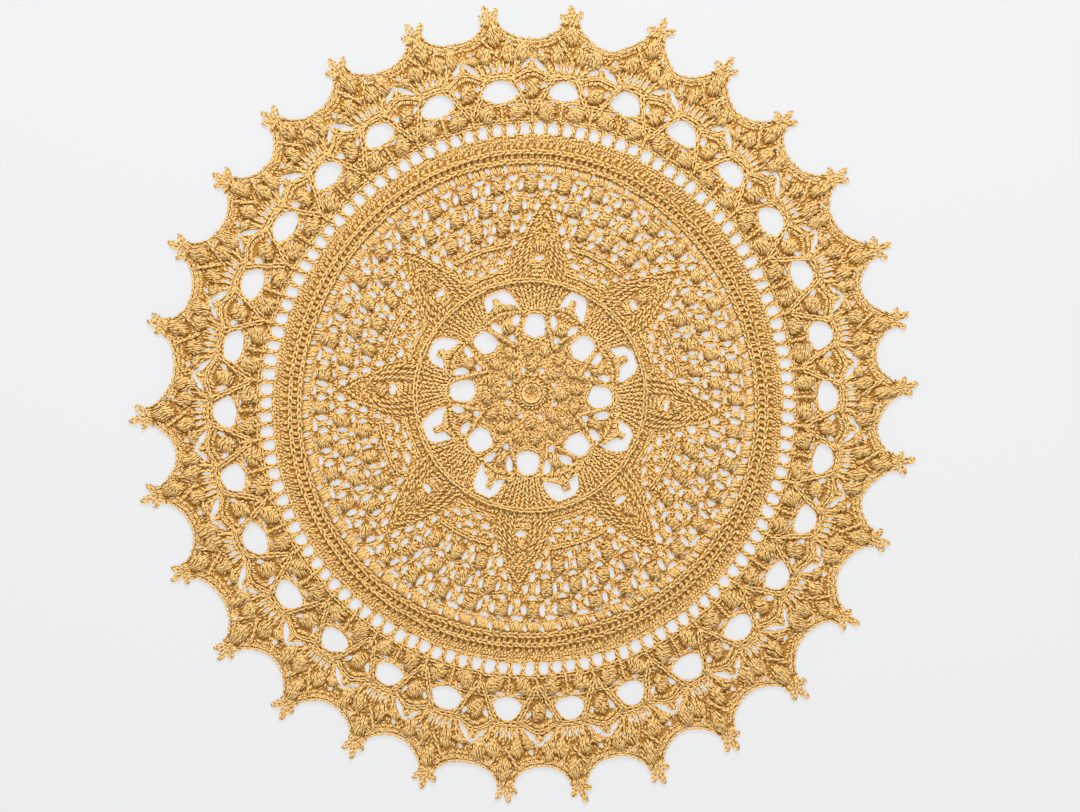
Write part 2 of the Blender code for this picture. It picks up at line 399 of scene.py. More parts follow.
def lumps(places, dome, random, sway):
    """Bobbles at places of degrees and radius, each a little different.

    They are turned by up to sway degrees either way.
    """
    found = []
    for degrees, radius in places:
        wide, tall, swell = random.uniform(*BOBBLE_SIZES, 3)
        shape = dome._replace(
            width=dome.width * wide,
            height=dome.height * tall,
            rise=dome.rise * swell,
            turn=dome.turn + random.uniform(-sway, sway),
        )
        found.append(lump(degrees, radius, shape, random.uniform(0, TAU)))
    return np.concatenate(found)


# A picot's two strands: what part of a turn they take, how far the inner one lies inside the
# outer one, as a share of its width, and their height and how far they cross, in mm.
PICOT_POINTS = 10
PICOT_TURN = (0.03, 0.97)
PICOT_INSET = 0.32
PICOT_HEIGHT = 1.5
PICOT_RISE = 0.5


def picot(degrees, radius, width, height, lean):
    """A small loop of chain that stands out from the edge, of two strands."""
    share = np.linspace(*PICOT_TURN, PICOT_POINTS) * TAU
    angle = math.radians(lean)
    found = []
    for inset, phase in ((0.0, 0.0), (PICOT_INSET * width, math.pi)):
        x = (width / 2 - inset) * np.sin(share)
        y = height / 2 - (height / 2 - inset) * np.cos(share)
        reach = radius + y * math.cos(angle) - x * math.sin(angle)
        turned = degrees + np.degrees((x * math.cos(angle) + y * math.sin(angle)) / reach)
        z = PICOT_HEIGHT + PICOT_RISE * np.sin(3 * share + phase)
        found.append(np.column_stack((turned, reach, z)))
    return np.array(found)


def picots(places, width, height, lean, random):
    """Picots at places of degrees and radius, each a little different."""
    found = []
    for degrees, radius in places:
        wide, tall = random.uniform(*PICOT_SIZES, 2)
        leaning = lean + random.uniform(-PICOT_SWAY, PICOT_SWAY)
        found.append(picot(degrees, radius, width * wide, height * tall, leaning))
    return np.concatenate(found)


def both_sides(strands):
    """The strands and their mirror images, on the other side of the repeat's middle."""
    return np.concatenate((strands, strands * (-1, 1, 1)))


def spread(turns, *groups):
    """Copies of every group's strands at each turn, in degrees."""
    found = []
    for strands in groups:
        copies = np.repeat(strands[None], len(turns), axis=0)
        copies[..., 0] += np.asarray(turns)[:, None, None]
        found.append(copies.reshape(-1, *strands.shape[1:]))
    return found


def places_at(turns, *spots):
    """Each spot's places of degrees and radius, at each turn."""
    return [(turn + deg, radius) for turn in turns for deg, radius in spots]


# How far a strand strays in height, as a share of how far it strays sideways.
STRAY_UP = 0.7


def shaken(strands, random, mm):
    """The strands, each moved a little, as hand-made stitches are."""
    moved = strands.copy()
    moved[..., 1] += random.normal(0, mm, len(strands))[:, None]
    moved[..., 0] += np.degrees(random.normal(0, mm, len(strands))[:, None] / moved[..., 1])
    moved[..., 2] += random.normal(0, mm * STRAY_UP, len(strands))[:, None]
    return moved


# --- Meshes ---


def tubes(strands, thickness):
    """Corner points, faces and UVs of closed tubes, one along each strand."""
    sides = THREAD_SIDES
    spot = place(strands[..., 0], strands[..., 1])
    spine = np.concatenate((spot, strands[..., 2:]), axis=-1)
    ahead = np.gradient(spine, axis=1)
    ahead /= np.linalg.norm(ahead, axis=-1, keepdims=True)
    # The small part sideways keeps an upright strand's side from being nothing.
    side = np.cross(ahead, (0.0, 0.0, 1.0)) + (1e-6, 0.0, 0.0)
    side /= np.linalg.norm(side, axis=-1, keepdims=True)
    over = np.cross(side, ahead)
    # One side of the tube faces up.
    turn = (0.25 + (np.arange(sides) - 0.5) / sides) * TAU
    ring = (
        np.cos(turn)[:, None] * side[:, :, None, :] + np.sin(turn)[:, None] * over[:, :, None, :]
    )
    taper = np.ones(spine.shape[1])
    taper[[0, -1]] = END_SHARE
    corners = spine[:, :, None, :] + ring * (thickness / 2 * taper)[:, None, None]
    corners[..., 2] = np.maximum(corners[..., 2], LOWEST)
    count, points = spine.shape[:2]
    first = (np.arange(count) * points * sides)[:, None, None]
    step = (np.arange(points - 1) * sides)[None, :, None]
    here = np.arange(sides)[None, None, :]
    beside = (here + 1) % sides
    quads = np.stack(
        np.broadcast_arrays(
            first + step + here,
            first + step + sides + here,
            first + step + sides + beside,
            first + step + beside,
        ),
        axis=-1,
    )
    ends = (points - 1) * sides
    start_caps = first[:, 0] + np.arange(sides)
    end_caps = first[:, 0] + ends + np.arange(sides)[::-1]
    lengths = np.linalg.norm(np.diff(spine, axis=1), axis=-1)
    reach = np.concatenate((np.zeros((count, 1)), np.cumsum(lengths, axis=1)), axis=1)
    reach += (np.arange(count) * PLY_SHIFT % PLY_RANGE)[:, None]
    low = np.broadcast_to(reach[:, :-1, None], quads.shape[:-1])
    high = np.broadcast_to(reach[:, 1:, None], quads.shape[:-1])
    left = np.broadcast_to(here / sides, quads.shape[:-1])
    right = left + 1 / sides
    around = np.stack((left, left, right, right), axis=-1)
    lengthwise = np.stack((low, high, high, low), axis=-1)
    quad_uvs = np.stack((around, lengthwise), axis=-1).reshape(-1, 2)
    cap_uvs = np.zeros((start_caps.size + end_caps.size, 2))
    return (
        corners.reshape(-1, 3),
        (quads.reshape(-1), 4),
        (np.concatenate((start_caps, end_caps)).reshape(-1), sides),
        np.concatenate((quad_uvs, cap_uvs)),
    )


def joined_mesh(name, groups, thickness):
    """One mesh of all the groups' tubes, with UVs that run along the thread."""
    corners = []
    loops = []
    sizes = []
    uvs = []
    start = 0
    for strands in groups:
        spots, quads, caps, coordinates = tubes(strands, thickness)
        for corner_list, size in (quads, caps):
            loops.append(corner_list + start)
            sizes.append(np.full(len(corner_list) // size, size))
        uvs.append(coordinates)
        corners.append(spots)
        start += len(spots)
    corners = np.concatenate(corners) * MM
    loops = np.concatenate(loops)
    sizes = np.concatenate(sizes)
    mesh = bpy.data.meshes.new(name)
    mesh.vertices.add(len(corners))
    mesh.vertices.foreach_set("co", corners.ravel())
    mesh.loops.add(len(loops))
    mesh.loops.foreach_set("vertex_index", loops)
    mesh.polygons.add(len(sizes))
    mesh.polygons.foreach_set("loop_start", np.cumsum(sizes) - sizes)
    mesh.polygons.foreach_set("use_smooth", np.ones(len(sizes), bool))
    layer = mesh.uv_layers.new(name=THREAD_UVS)
    layer.data.foreach_set("uv", np.concatenate(uvs).ravel())
    mesh.update(calc_edges=True)
    mesh.validate()
    return mesh


def thread_piece(piece, groups, settings):
    """A piece of the doily: all its strands as thread, riding on the body."""
    random = np.random.default_rng(sum(map(ord, piece.name)))
    groups = [shaken(strands, random, settings.unevenness / MM) for strands in groups]
    mesh = joined_mesh(piece.name, groups, settings.thread * piece.share / MM)
    made = bpy.data.objects.new(piece.name, mesh)
    bpy.context.scene.collection.objects.link(made)
    mesh.materials.append(thread_material(settings))
    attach(made, BODY)


# --- Openings of the sheet under the stitches ---


def scallop(t):
    """The edge's radius in the pattern, t degrees from the tip."""
    rise = SHOULDER_RADIUS - DIP_RADIUS
    return DIP_RADIUS + rise * (1 - abs(t) / (REPEAT_STEP / 2)) ** SCALLOP_POWER


# Shapes of small openings: shares of half the width and half the height, clockwise.
OVAL = ((-0.9, 0.45), (0.0, 1.0), (0.9, 0.45), (0.8, -0.5), (0.0, -1.0), (-0.8, -0.5))
POINTED = ((-1.0, 0.85), (0.0, 0.65), (1.0, 0.85), (0.55, -0.2), (0.0, -1.0), (-0.55, -0.2))
LENS = ((-1.0, 0.1), (-0.5, 0.8), (0.5, 0.8), (1.0, 0.1), (0.45, -0.8), (-0.45, -0.8))

# The large openings, as corners of degrees from the repeat's middle and radius.
LADDER_CELL = (
    (-1.02, 130.1), (0.0, 129.9), (1.02, 130.1), (0.98, 132.6),
    (0.78, 134.9), (0.2, 135.9), (-0.55, 135.1), (-0.96, 133.2),
)
LADDER_DEGREES = (-4.5, -1.5, 1.5, 4.5)
ARCH_OPENING = (
    (0.0, 147.0), (2.1, 148.2), (2.95, 150.7), (2.55, 153.8),
    (1.8, 156.6), (0.7, 158.3), (-0.7, 158.3), (-1.9, 156.6),
    (-2.65, 153.8), (-3.05, 150.7), (-2.1, 148.2),
)
CHEVRON_OPENING = (
    (-2.7, 162.5), (-0.8, 165.4), (-0.5, 167.5), (0.5, 167.5),
    (0.9, 164.6), (3.3, 160.8), (1.5, 167.2), (0.0, 169.4),
    (-1.3, 167.4),
)
MEDALLION_OPENING = (
    (0.5, 28.3), (9.6, 30.8), (8.2, 34.5), (5.6, 39.0),
    (1.5, 40.3), (-4.0, 40.0), (-6.6, 38.2), (-8.4, 34.0),
    (-9.6, 31.0),
)
FAN_OPENING = (
    (12.4, 45.0), (18.8, 47.2), (19.6, 51.4), (23.4, 51.4),
    (24.4, 47.2), (34.5, 43.4), (33.2, 47.5), (30.6, 52.4),
    (27.0, 55.0), (18.5, 55.0), (15.2, 52.2),
)

# Small openings: the shape, degrees from the repeat's middle, radius, width in degrees, height,
# and how many degrees further on the outer end lies.
REPEAT_EYELETS = (
    (LENS, -2.1, 145.5, 1.7, 1.0, 0.0),
    (LENS, 2.0, 145.5, 2.3, 1.2, 0.0),
    (OVAL, 4.15, 154.6, 0.95, 4.4, -0.8),
    (OVAL, 7.9, 155.0, 0.8, 3.4, 0.8),
    (OVAL, -1.65, 164.7, 0.44, 4.4, -0.3),
    (OVAL, -0.55, 164.9, 0.44, 4.4, -0.1),
    (OVAL, 0.55, 164.9, 0.44, 4.4, 0.1),
    (OVAL, 1.65, 164.7, 0.44, 4.4, 0.3),
    (OVAL, -4.4, 172.4, 0.7, 2.2, 0.0),
    (OVAL, 3.3, 170.4, 0.4, 1.6, 0.0),
    (OVAL, 2.5, 179.2, 0.6, 2.6, -0.5),
)
# The same, in degrees from each star point's middle.
SECTOR_EYELETS = (
    (OVAL, 14.6, 36.8, 5.6, 6.2, -4.0),
    (OVAL, 30.0, 37.4, 4.8, 5.8, 3.0),
    (OVAL, 22.6, 29.4, 5.6, 3.2, 0.0),
    (LENS, 0.3, 68.6, 4.4, 2.5, 0.0),
    (LENS, 20.0, 65.2, 3.5, 1.6, 0.0),
    (LENS, 25.4, 65.2, 3.4, 1.4, 0.0),
    (LENS, 15.6, 68.4, 3.9, 2.2, 0.0),
    (LENS, 22.5, 69.9, 3.0, 1.4, 0.0),
    (LENS, 29.4, 68.2, 3.7, 1.8, 0.0),
    (OVAL, 12.3, 71.9, 1.7, 1.8, 0.0),
    (OVAL, 19.2, 73.0, 1.9, 1.8, 0.0),
    (OVAL, 25.8, 73.0, 2.0, 2.0, 0.0),
    (OVAL, 32.7, 71.9, 1.7, 1.9, 0.0),
    (OVAL, 9.7, 77.3, 1.6, 4.2, -1.0),
    (OVAL, 18.0, 80.5, 1.6, 3.6, 0.0),
    (OVAL, 27.0, 80.5, 1.6, 3.6, 0.0),
    (OVAL, 35.2, 77.2, 1.2, 3.6, 1.0),
    *((OVAL, deg, 78.6, 0.9, 1.5, 0.0) for deg in (14.6, 21.2, 23.8, 30.4)),
    (OVAL, 6.8, 83.4, 1.9, 4.2, -0.8),
    (OVAL, 38.3, 83.4, 1.7, 3.6, 0.8),
    (OVAL, 10.3, 84.3, 1.6, 4.8, 0.8),
    (OVAL, 16.6, 84.6, 1.3, 3.8, 0.0),
    (OVAL, 19.3, 85.0, 1.5, 4.4, 0.6),
    (OVAL, 25.7, 85.0, 1.3, 3.8, 0.0),
    (OVAL, 28.3, 85.0, 1.5, 4.4, 0.6),
    (OVAL, 34.7, 84.3, 1.4, 4.2, 0.0),
    (OVAL, 4.6, 89.4, 1.2, 3.8, -0.8),
    (OVAL, 40.4, 89.0, 1.4, 4.0, 0.8),
    (OVAL, 2.5, 94.8, 1.4, 3.6, -0.4),
    (OVAL, 42.6, 94.8, 1.5, 3.8, 0.6),
    (POINTED, 9.0, 88.9, 2.9, 2.3, 0.0),
    (POINTED, 18.0, 89.2, 2.8, 2.1, 0.0),
    (POINTED, 27.0, 89.2, 2.8, 2.1, 0.0),
    (POINTED, 36.0, 88.9, 2.9, 2.3, 0.0),
    (OVAL, 13.5, 91.2, 1.4, 2.4, 0.0),
    (OVAL, 22.5, 91.6, 1.4, 2.4, 0.0),
    (OVAL, 31.5, 91.2, 1.4, 2.4, 0.0),
    (OVAL, 6.4, 95.0, 1.4, 4.8, 0.8),
    (OVAL, 11.7, 95.0, 1.5, 4.2, 0.0),
    (OVAL, 15.4, 95.4, 1.4, 4.6, 0.8),
    (OVAL, 20.7, 95.4, 1.5, 4.0, 0.0),
    (OVAL, 24.4, 95.4, 1.4, 4.6, 0.8),
    (OVAL, 29.7, 95.4, 1.5, 4.0, 0.0),
    (OVAL, 33.4, 95.0, 1.4, 4.6, 0.8),
    (OVAL, 38.7, 95.0, 1.5, 4.2, 0.0),
)
# The same, for what comes every nine degrees.
NINTH_EYELETS = (
    (LENS, 0.0, 108.7, 2.7, 2.4, 0.0),
    (LENS, 4.5, 109.3, 2.3, 1.5, 0.0),
    (OVAL, 1.85, 104.9, 1.3, 4.8, 0.7),
    (OVAL, 7.15, 104.9, 1.5, 4.0, 0.0),
    (OVAL, 0.0, 101.0, 1.5, 2.6, 0.0),
    (POINTED, 4.5, 99.2, 2.5, 1.9, 0.0),
)
NINTH_TURNS = turns_of(40, SECTOR_TURN)
# How much larger the sectors' and the ninths' openings are than their rows say.
NET_SIZE = 1.13
# The band's holes, and those round the popcorns in the middle.
BAND_TURNS = turns_of(80, 1.25)
BAND_EYELETS = ((OVAL, 0.0, 113.2, 1.05, 2.9, -0.3),)
POPCORN_TURNS = turns_of(SECTORS, 2.0)
POPCORN_EYELETS = ((OVAL, 22.5, 12.2, 9.0, 2.8, 0.0),)


def copies_at(outline, turns):
    """An outline's copies at each turn."""
    return np.array(outline, float) + np.array([(turn, 0.0) for turn in turns])[:, None, :]


def eyelets(table, turns, size=1.0):
    """Outlines of small openings, a group for each row of the table."""
    found = []
    for shape, deg, radius, width, height, lean in table:
        across, out = np.array(shape).T
        sideways = across * width * size + out * lean
        ring = np.column_stack((deg + sideways / 2, radius + out * height * size / 2))
        found.append(copies_at(ring, turns))
    return found


def small_openings():
    """The outlines of all the small openings, in groups."""
    return (
        eyelets(REPEAT_EYELETS, REPEAT_TURNS)
        + eyelets(SECTOR_EYELETS, SECTOR_TURNS, NET_SIZE)
        + eyelets(NINTH_EYELETS, NINTH_TURNS, NET_SIZE)
        + eyelets(BAND_EYELETS, BAND_TURNS)
        + eyelets(POPCORN_EYELETS, POPCORN_TURNS)
    )


LARGE_OPENINGS = (
    (ARCH_OPENING, REPEAT_TURNS),
    (CHEVRON_OPENING, REPEAT_TURNS + REPEAT_STEP / 2),
    (MEDALLION_OPENING, SECTOR_TURNS),
    (FAN_OPENING, SECTOR_TURNS),
    *((LADDER_CELL, REPEAT_TURNS + deg) for deg in LADDER_DEGREES),
)


# How far the sheet is cut back under the rims' threads, in mm.
SHEET_TRIM = 0.4


def moved_out(outlines, mm):
    """Closed outlines with every corner moved outwards by mm."""
    per_degree = np.radians(outlines[..., 1].mean(axis=-1))[..., None]
    flat = np.stack((outlines[..., 0] * per_degree, outlines[..., 1]), axis=-1)
    after = np.roll(flat, -1, axis=-2)
    ahead = after - np.roll(flat, 1, axis=-2)
    ahead /= np.linalg.norm(ahead, axis=-1, keepdims=True)
    area = (flat[..., 0] * after[..., 1] - flat[..., 1] * after[..., 0]).sum(axis=-1)
    outwards = np.stack((ahead[..., 1], -ahead[..., 0]), axis=-1) * np.sign(area)[..., None, None]
    flat = flat + outwards * mm
    return np.stack((flat[..., 0] / per_degree, flat[..., 1]), axis=-1)


def edge_off(degrees):
    """Degrees from the nearest tip of the edge."""
    return (degrees - REPEAT_TURN + REPEAT_STEP / 2) % REPEAT_STEP - REPEAT_STEP / 2


# The grid's steps, and the radius that it reaches.
GRID_DEG = 0.1
GRID_MM = 0.2
GRID_REACH = 220.0


def outside_grid(margin):
    """A grid of degrees by millimetres that is true outside the edge, less a margin."""
    degrees = np.arange(round(360 / GRID_DEG))[:, None] * GRID_DEG
    radius = np.arange(round(GRID_REACH / GRID_MM))[None, :] * GRID_MM
    return radius > scallop(edge_off(degrees)) - margin


def cells_inside(outline):
    """The grid's cells inside an outline: a line out of one crosses it an odd number of times."""
    low = np.floor(outline.min(axis=0) / (GRID_DEG, GRID_MM)).astype(int)
    high = np.ceil(outline.max(axis=0) / (GRID_DEG, GRID_MM)).astype(int)
    column, row = np.meshgrid(np.arange(low[0], high[0]), np.arange(low[1], high[1]), indexing="ij")
    deg, radius = (column + 0.5) * GRID_DEG, (row + 0.5) * GRID_MM
    inside = np.zeros(deg.shape, bool)
    for (deg_a, radius_a), (deg_b, radius_b) in zip(outline, np.roll(outline, -1, axis=0)):
        crosses = (radius_a > radius) != (radius_b > radius)
        rise = radius_b - radius_a if radius_b != radius_a else 1.0
        inside ^= crosses & (deg < deg_a + (deg_b - deg_a) * (radius - radius_a) / rise)
    return column[inside] % round(360 / GRID_DEG), row[inside]


# How far openings keep from the edge and from each other, in mm.
EDGE_MARGIN = 2.4
OPENING_GAP = 0.25
# How their sizes vary, within limits, how far a corner strays in mm, and the sizes that are tried.
OPENING_SPREAD = 0.06
OPENING_LIMITS = (0.85, 1.15)
CORNER_STRAY = 0.2
TRIED_SIZES = (1.0, 0.86, 0.72, 0.58)


@functools.cache
def opening_groups():
    """Outlines of every opening, in groups of one shape: uneven, and shrunk where two would meet."""
    random = np.random.default_rng(5)
    taken = outside_grid(EDGE_MARGIN)
    groups = [copies_at(shape, turns) for shape, turns in LARGE_OPENINGS] + small_openings()
    found = []
    for group in groups:
        middle = group.mean(axis=1, keepdims=True)
        size = random.normal(1.0, OPENING_SPREAD, (len(group), 1, 2)).clip(*OPENING_LIMITS)
        corner = random.normal(0.0, CORNER_STRAY, group.shape)
        corner[..., 0] = np.degrees(corner[..., 0] / group[..., 1])
        uneven = middle + (group - middle) * size + corner
        kept = []
        for outline, centre in zip(uneven, middle):
            for share in TRIED_SIZES:
                shrunk = centre + (outline - centre) * share
                cells = cells_inside(moved_out(shrunk, SHEET_TRIM + OPENING_GAP))
                if not taken[cells].any():
                    taken[cells] = True
                    kept.append(shrunk)
                    break
        if kept:
            found.append(np.array(kept))
    return found


# The sheet's edge at each point: where its corners are, in degrees from the tip, how far inside
# the lace they lie in mm, and its last corner beside the tip.
SIDE_CORNERS = (6.0, 5.0, 4.0, 3.0, 2.2, 1.7)
SIDE_INSET = 0.9
TIP_CORNER = (1.1, 191.0)


def sheet_outlines():
    """The sheet's edge, then every opening in it, cut back to lie under the thread."""
    side = [(t, scallop(t) - SIDE_INSET) for t in SIDE_CORNERS] + [TIP_CORNER]
    left = [(-t, radius) for t, radius in side]
    # The corner in the dip is the next point's first one.
    right = [corner for corner in reversed(side) if corner[0] < REPEAT_STEP / 2]
    edge = np.array(left + right)
    outlines = [np.concatenate([edge + (turn, 0) for turn in REPEAT_TURNS])]
    for group in opening_groups():
        outlines += list(moved_out(group, SHEET_TRIM))
    return outlines


# The thread round an opening: how far outside it, how high, and how far it goes up and down.
RIM_OUT = 0.5
RIM_HEIGHT = 1.3
RIM_WAVE = 0.35


def rimmed(outlines, points):
    """Strands round openings of one shape, just outside their outlines."""
    ring = moved_out(outlines, RIM_OUT)
    closed = np.concatenate((ring[:, -1:], ring, ring[:, :2]), axis=1)
    loop = smooth(closed, points, trim=1)
    height = RIM_HEIGHT + RIM_WAVE * np.sin(np.linspace(0, 3 * TAU, points))
    return np.concatenate((loop, np.broadcast_to(height[:, None], (*loop.shape[:2], 1))), axis=-1)


# --- The map of what is open and what is covered, for the filling between the stitches ---

OPEN = 2
COVERED = 1
# How near the edge stitches reach, and how far an opening reaches out on the map, in mm.
MAP_MARGIN = 1.6
OPEN_REACH = 0.3
# At how many points a strand is looked up, and in how many steps each way it is covered.
MAP_POINTS = 14
COVER_STEPS = 5
# How much of a stitch and of a knot may lie over openings, and what part of a knot has to lie
# where nothing is covered yet.
STITCH_OPEN = 0.25
KNOT_OPEN = 0.1
KNOT_BARE = 0.3


class PatternMap:
    """What is open and what is covered, on a grid of degrees by millimetres."""

    def __init__(self):
        self.grid = outside_grid(MAP_MARGIN).astype(np.int8) * COVERED
        for group in opening_groups():
            for outline in moved_out(group, OPEN_REACH):
                self.grid[cells_inside(outline)] = OPEN

    def cells(self, strands, side=0.0, out=0.0):
        """The grid's cells that the strands pass, moved by millimetres sideways and outwards."""
        spots = smooth(strands[..., :2], MAP_POINTS)
        deg = spots[..., 0] + np.degrees(side / spots[..., 1])
        column = np.rint(deg / GRID_DEG - 0.5).astype(int) % self.grid.shape[0]
        row = np.rint((spots[..., 1] + out) / GRID_MM - 0.5).astype(int)
        return column, np.clip(row, 0, self.grid.shape[1] - 1)

    def cover(self, strands, reach):
        """Marks what lies within reach of the strands, in mm, as covered."""
        for side in np.linspace(-reach, reach, COVER_STEPS):
            for out in np.linspace(-reach, reach, COVER_STEPS):
                cells = self.cells(strands, side, out)
                self.grid[cells] = np.maximum(self.grid[cells], COVERED)

    def closed(self, strands, share=STITCH_OPEN):
        """The strands that have no more than this share of their length over openings."""
        return strands[(self.grid[self.cells(strands)] == OPEN).mean(axis=1) <= share]

    def bare(self, strands):
        """The strands that cross no opening and lie mostly where nothing is covered yet."""
        found = self.closed(strands, KNOT_OPEN)
        return found[(self.grid[self.cells(found)] < COVERED).mean(axis=1) > KNOT_BARE]


# A knot's strands, as the stitches above, but from its middle, in halves of the pitch. Then how
# far its place strays, as a share of the pitch, how its size varies, and what it covers in mm.
KNOT = (
    ((0.10, -0.60, 0.95), (0.22, -0.10, 1.45), (0.62, 0.30, 1.50), (0.80, 0.70, 1.05)),
    ((-0.10, -0.60, 0.95), (-0.22, -0.10, 1.40), (-0.62, 0.30, 1.45), (-0.80, 0.70, 1.05)),
)
KNOT_STRAY = 0.18
KNOT_WIDTHS = (0.6, 1.3)
KNOT_HEIGHTS = (0.85, 1.1)
KNOT_CLEAR = 0.5


def knots(inner, outer, covered, random, pitch, row):
    """Small low stitches, two strands each, over all that is not covered."""
    found = []
    for radius in np.arange(inner + row / 2, outer, row):
        count = round(TAU * radius / pitch)
        stray = random.uniform(-KNOT_STRAY, KNOT_STRAY, count)
        degrees = (np.arange(count) + stray) * 360 / count
        degrees += random.uniform(0, 360)
        for strand in KNOT:
            shape = np.array(strand)
            spots = np.empty((count, len(shape), 3))
            across = shape[:, 0] * pitch / 2 * random.uniform(*KNOT_WIDTHS, (count, 1))
            spots[..., 0] = degrees[:, None] + np.degrees(across / radius)
            spots[..., 1] = radius + shape[:, 1] * row * random.uniform(*KNOT_HEIGHTS, (count, 1))
            spots[..., 2] = shape[:, 2]
            kept = covered.bare(spots)
            covered.cover(kept, KNOT_CLEAR)
            found.append(kept)
    return found


# Points of the sheet nearer than this are one, in mm.
MERGED = 0.01


def sheet_mesh(name, outlines):
    """The sheet as a filled flat curve with its openings, made a closed mesh."""
    bpy.ops.object.select_all(action="DESELECT")
    curve = bpy.data.curves.new(name, "CURVE")
    curve.dimensions = "2D"
    curve.fill_mode = "BOTH"
    curve.extrude = (SHEET_HIGH - SHEET_LOW) / 2 * MM
    for outline in outlines:
        spots = place(outline[:, 0], outline[:, 1]) * MM
        spline = curve.splines.new("POLY")
        spline.points.add(len(spots) - 1)
        flat = np.column_stack((spots, np.zeros(len(spots)), np.ones(len(spots))))
        spline.points.foreach_set("co", flat.ravel())
        spline.use_cyclic_u = True
    sheet = bpy.data.objects.new(name, curve)
    sheet.location.z = (SHEET_LOW + SHEET_HIGH) / 2 * MM
    bpy.context.scene.collection.objects.link(sheet)
    sheet.select_set(True)
    bpy.context.view_layer.objects.active = sheet
    bpy.ops.object.convert(target="MESH")
    bpy.ops.object.transform_apply(location=True, rotation=True, scale=True)
    bpy.ops.object.mode_set(mode="EDIT")
    bpy.ops.mesh.select_all(action="SELECT")
    bpy.ops.mesh.remove_doubles(threshold=MERGED * MM)
    bpy.ops.mesh.normals_make_consistent(inside=False)
    bpy.ops.object.mode_set(mode="OBJECT")
    return sheet


# --- Materials ---


def set_inputs(made, values):
    """Sets a node's inputs by their names."""
    for socket, value in values.items():
        made.inputs[socket].default_value = value


def node(tree, kind, values=None, **settings):
    """A new node with its settings and its inputs' values."""
    made = tree.nodes.new(kind)
    for name, value in settings.items():
        setattr(made, name, value)
    set_inputs(made, values or {})
    return made


def wire(tree, *links):
    """Links nodes. Each link is a node and its output, then a node and its input."""
    for source, output, target, socket in links:
        tree.links.new(source.outputs[output], target.inputs[socket])


def new_group(name, inputs, outputs):
    """A node group with its sockets, and its two end nodes."""
    group = bpy.data.node_groups.new(name, "ShaderNodeTree")
    for socket, kind, value in inputs:
        made = group.interface.new_socket(socket, in_out="INPUT", socket_type=kind)
        made.default_value = value
    for socket, kind in outputs:
        group.interface.new_socket(socket, in_out="OUTPUT", socket_type=kind)
    return group, group.nodes.new("NodeGroupInput"), group.nodes.new("NodeGroupOutput")


def new_material(name, values):
    """A material, its nodes and its shader, with the shader's constants set."""
    material = bpy.data.materials.new(name)
    material.use_nodes = True
    shader = material.node_tree.nodes["Principled BSDF"]
    set_inputs(shader, values)
    return material, material.node_tree, shader


def ply_group():
    """Height of the plies that wind round a thread, from UVs that run along it."""
    group, start, end = new_group(
        "wound plies",
        (("Ply Length", "NodeSocketFloat", 2.4), ("Plies", "NodeSocketFloat", 3.0)),
        (("Height", "NodeSocketFloat"),),
    )
    uv = node(group, "ShaderNodeUVMap", uv_map=THREAD_UVS)
    parts = node(group, "ShaderNodeSeparateXYZ")
    wound = node(group, "ShaderNodeMath", operation="DIVIDE")
    plies = node(group, "ShaderNodeMath", operation="MULTIPLY")
    total = node(group, "ShaderNodeMath", operation="ADD")
    angle = node(group, "ShaderNodeMath", {1: TAU}, operation="MULTIPLY")
    wave = node(group, "ShaderNodeMath", operation="SINE")
    wire(
        group,
        (uv, "UV", parts, 0),
        (parts, "Y", wound, 0),
        (start, "Ply Length", wound, 1),
        (parts, "X", plies, 0),
        (start, "Plies", plies, 1),
        (wound, 0, total, 0),
        (plies, 0, total, 1),
        (total, 0, angle, 0),
        (angle, 0, wave, 0),
        (wave, 0, end, "Height"),
    )
    return group


def shade_group():
    """The thread's colour: painted shade that darkens it deeper down among the stitches, and uneven
    in the dye.
    """
    group, start, end = new_group(
        "thread shade",
        (
            ("Thread", "NodeSocketColor", (0.7, 0.4, 0.13, 1.0)),
            ("Deep", "NodeSocketColor", (0.4, 0.18, 0.03, 1.0)),
            ("Low", "NodeSocketFloat", 0.0006),
            ("High", "NodeSocketFloat", 0.0018),
        ),
        (("Color", "NodeSocketColor"),),
    )
    spot = node(group, "ShaderNodeTexCoord")
    parts = node(group, "ShaderNodeSeparateXYZ")
    # Painted shade: the lower a point lies between High and Low, the nearer its colour is to the
    # deep shade colour.
    height = node(group, "ShaderNodeMapRange")
    depth_shade = node(group, "ShaderNodeMix", data_type="RGBA")
    dye = node(group, "ShaderNodeTexNoise", {"Scale": 420.0, "Detail": 2.0})
    patchy = node(group, "ShaderNodeTexNoise", {"Scale": 35.0, "Detail": 1.0})
    fine = node(group, "ShaderNodeMapRange", {"To Min": 0.82, "To Max": 1.18})
    wide = node(group, "ShaderNodeMapRange", {"To Min": 0.93, "To Max": 1.07})
    both = node(group, "ShaderNodeMath", operation="MULTIPLY")
    tint = node(group, "ShaderNodeVectorMath", operation="SCALE")
    wire(
        group,
        (spot, "Object", parts, 0),
        (spot, "Object", dye, "Vector"),
        (spot, "Object", patchy, "Vector"),
        (parts, "Z", height, "Value"),
        (start, "Low", height, "From Min"),
        (start, "High", height, "From Max"),
        (height, "Result", depth_shade, "Factor"),
        (start, "Deep", depth_shade, "A"),
        (start, "Thread", depth_shade, "B"),
        (dye, "Fac", fine, "Value"),
        (patchy, "Fac", wide, "Value"),
        (fine, "Result", both, 0),
        (wide, "Result", both, 1),
        (depth_shade, "Result", tint, 0),
        (both, 0, tint, "Scale"),
        (tint, 0, end, "Color"),
    )
    return group


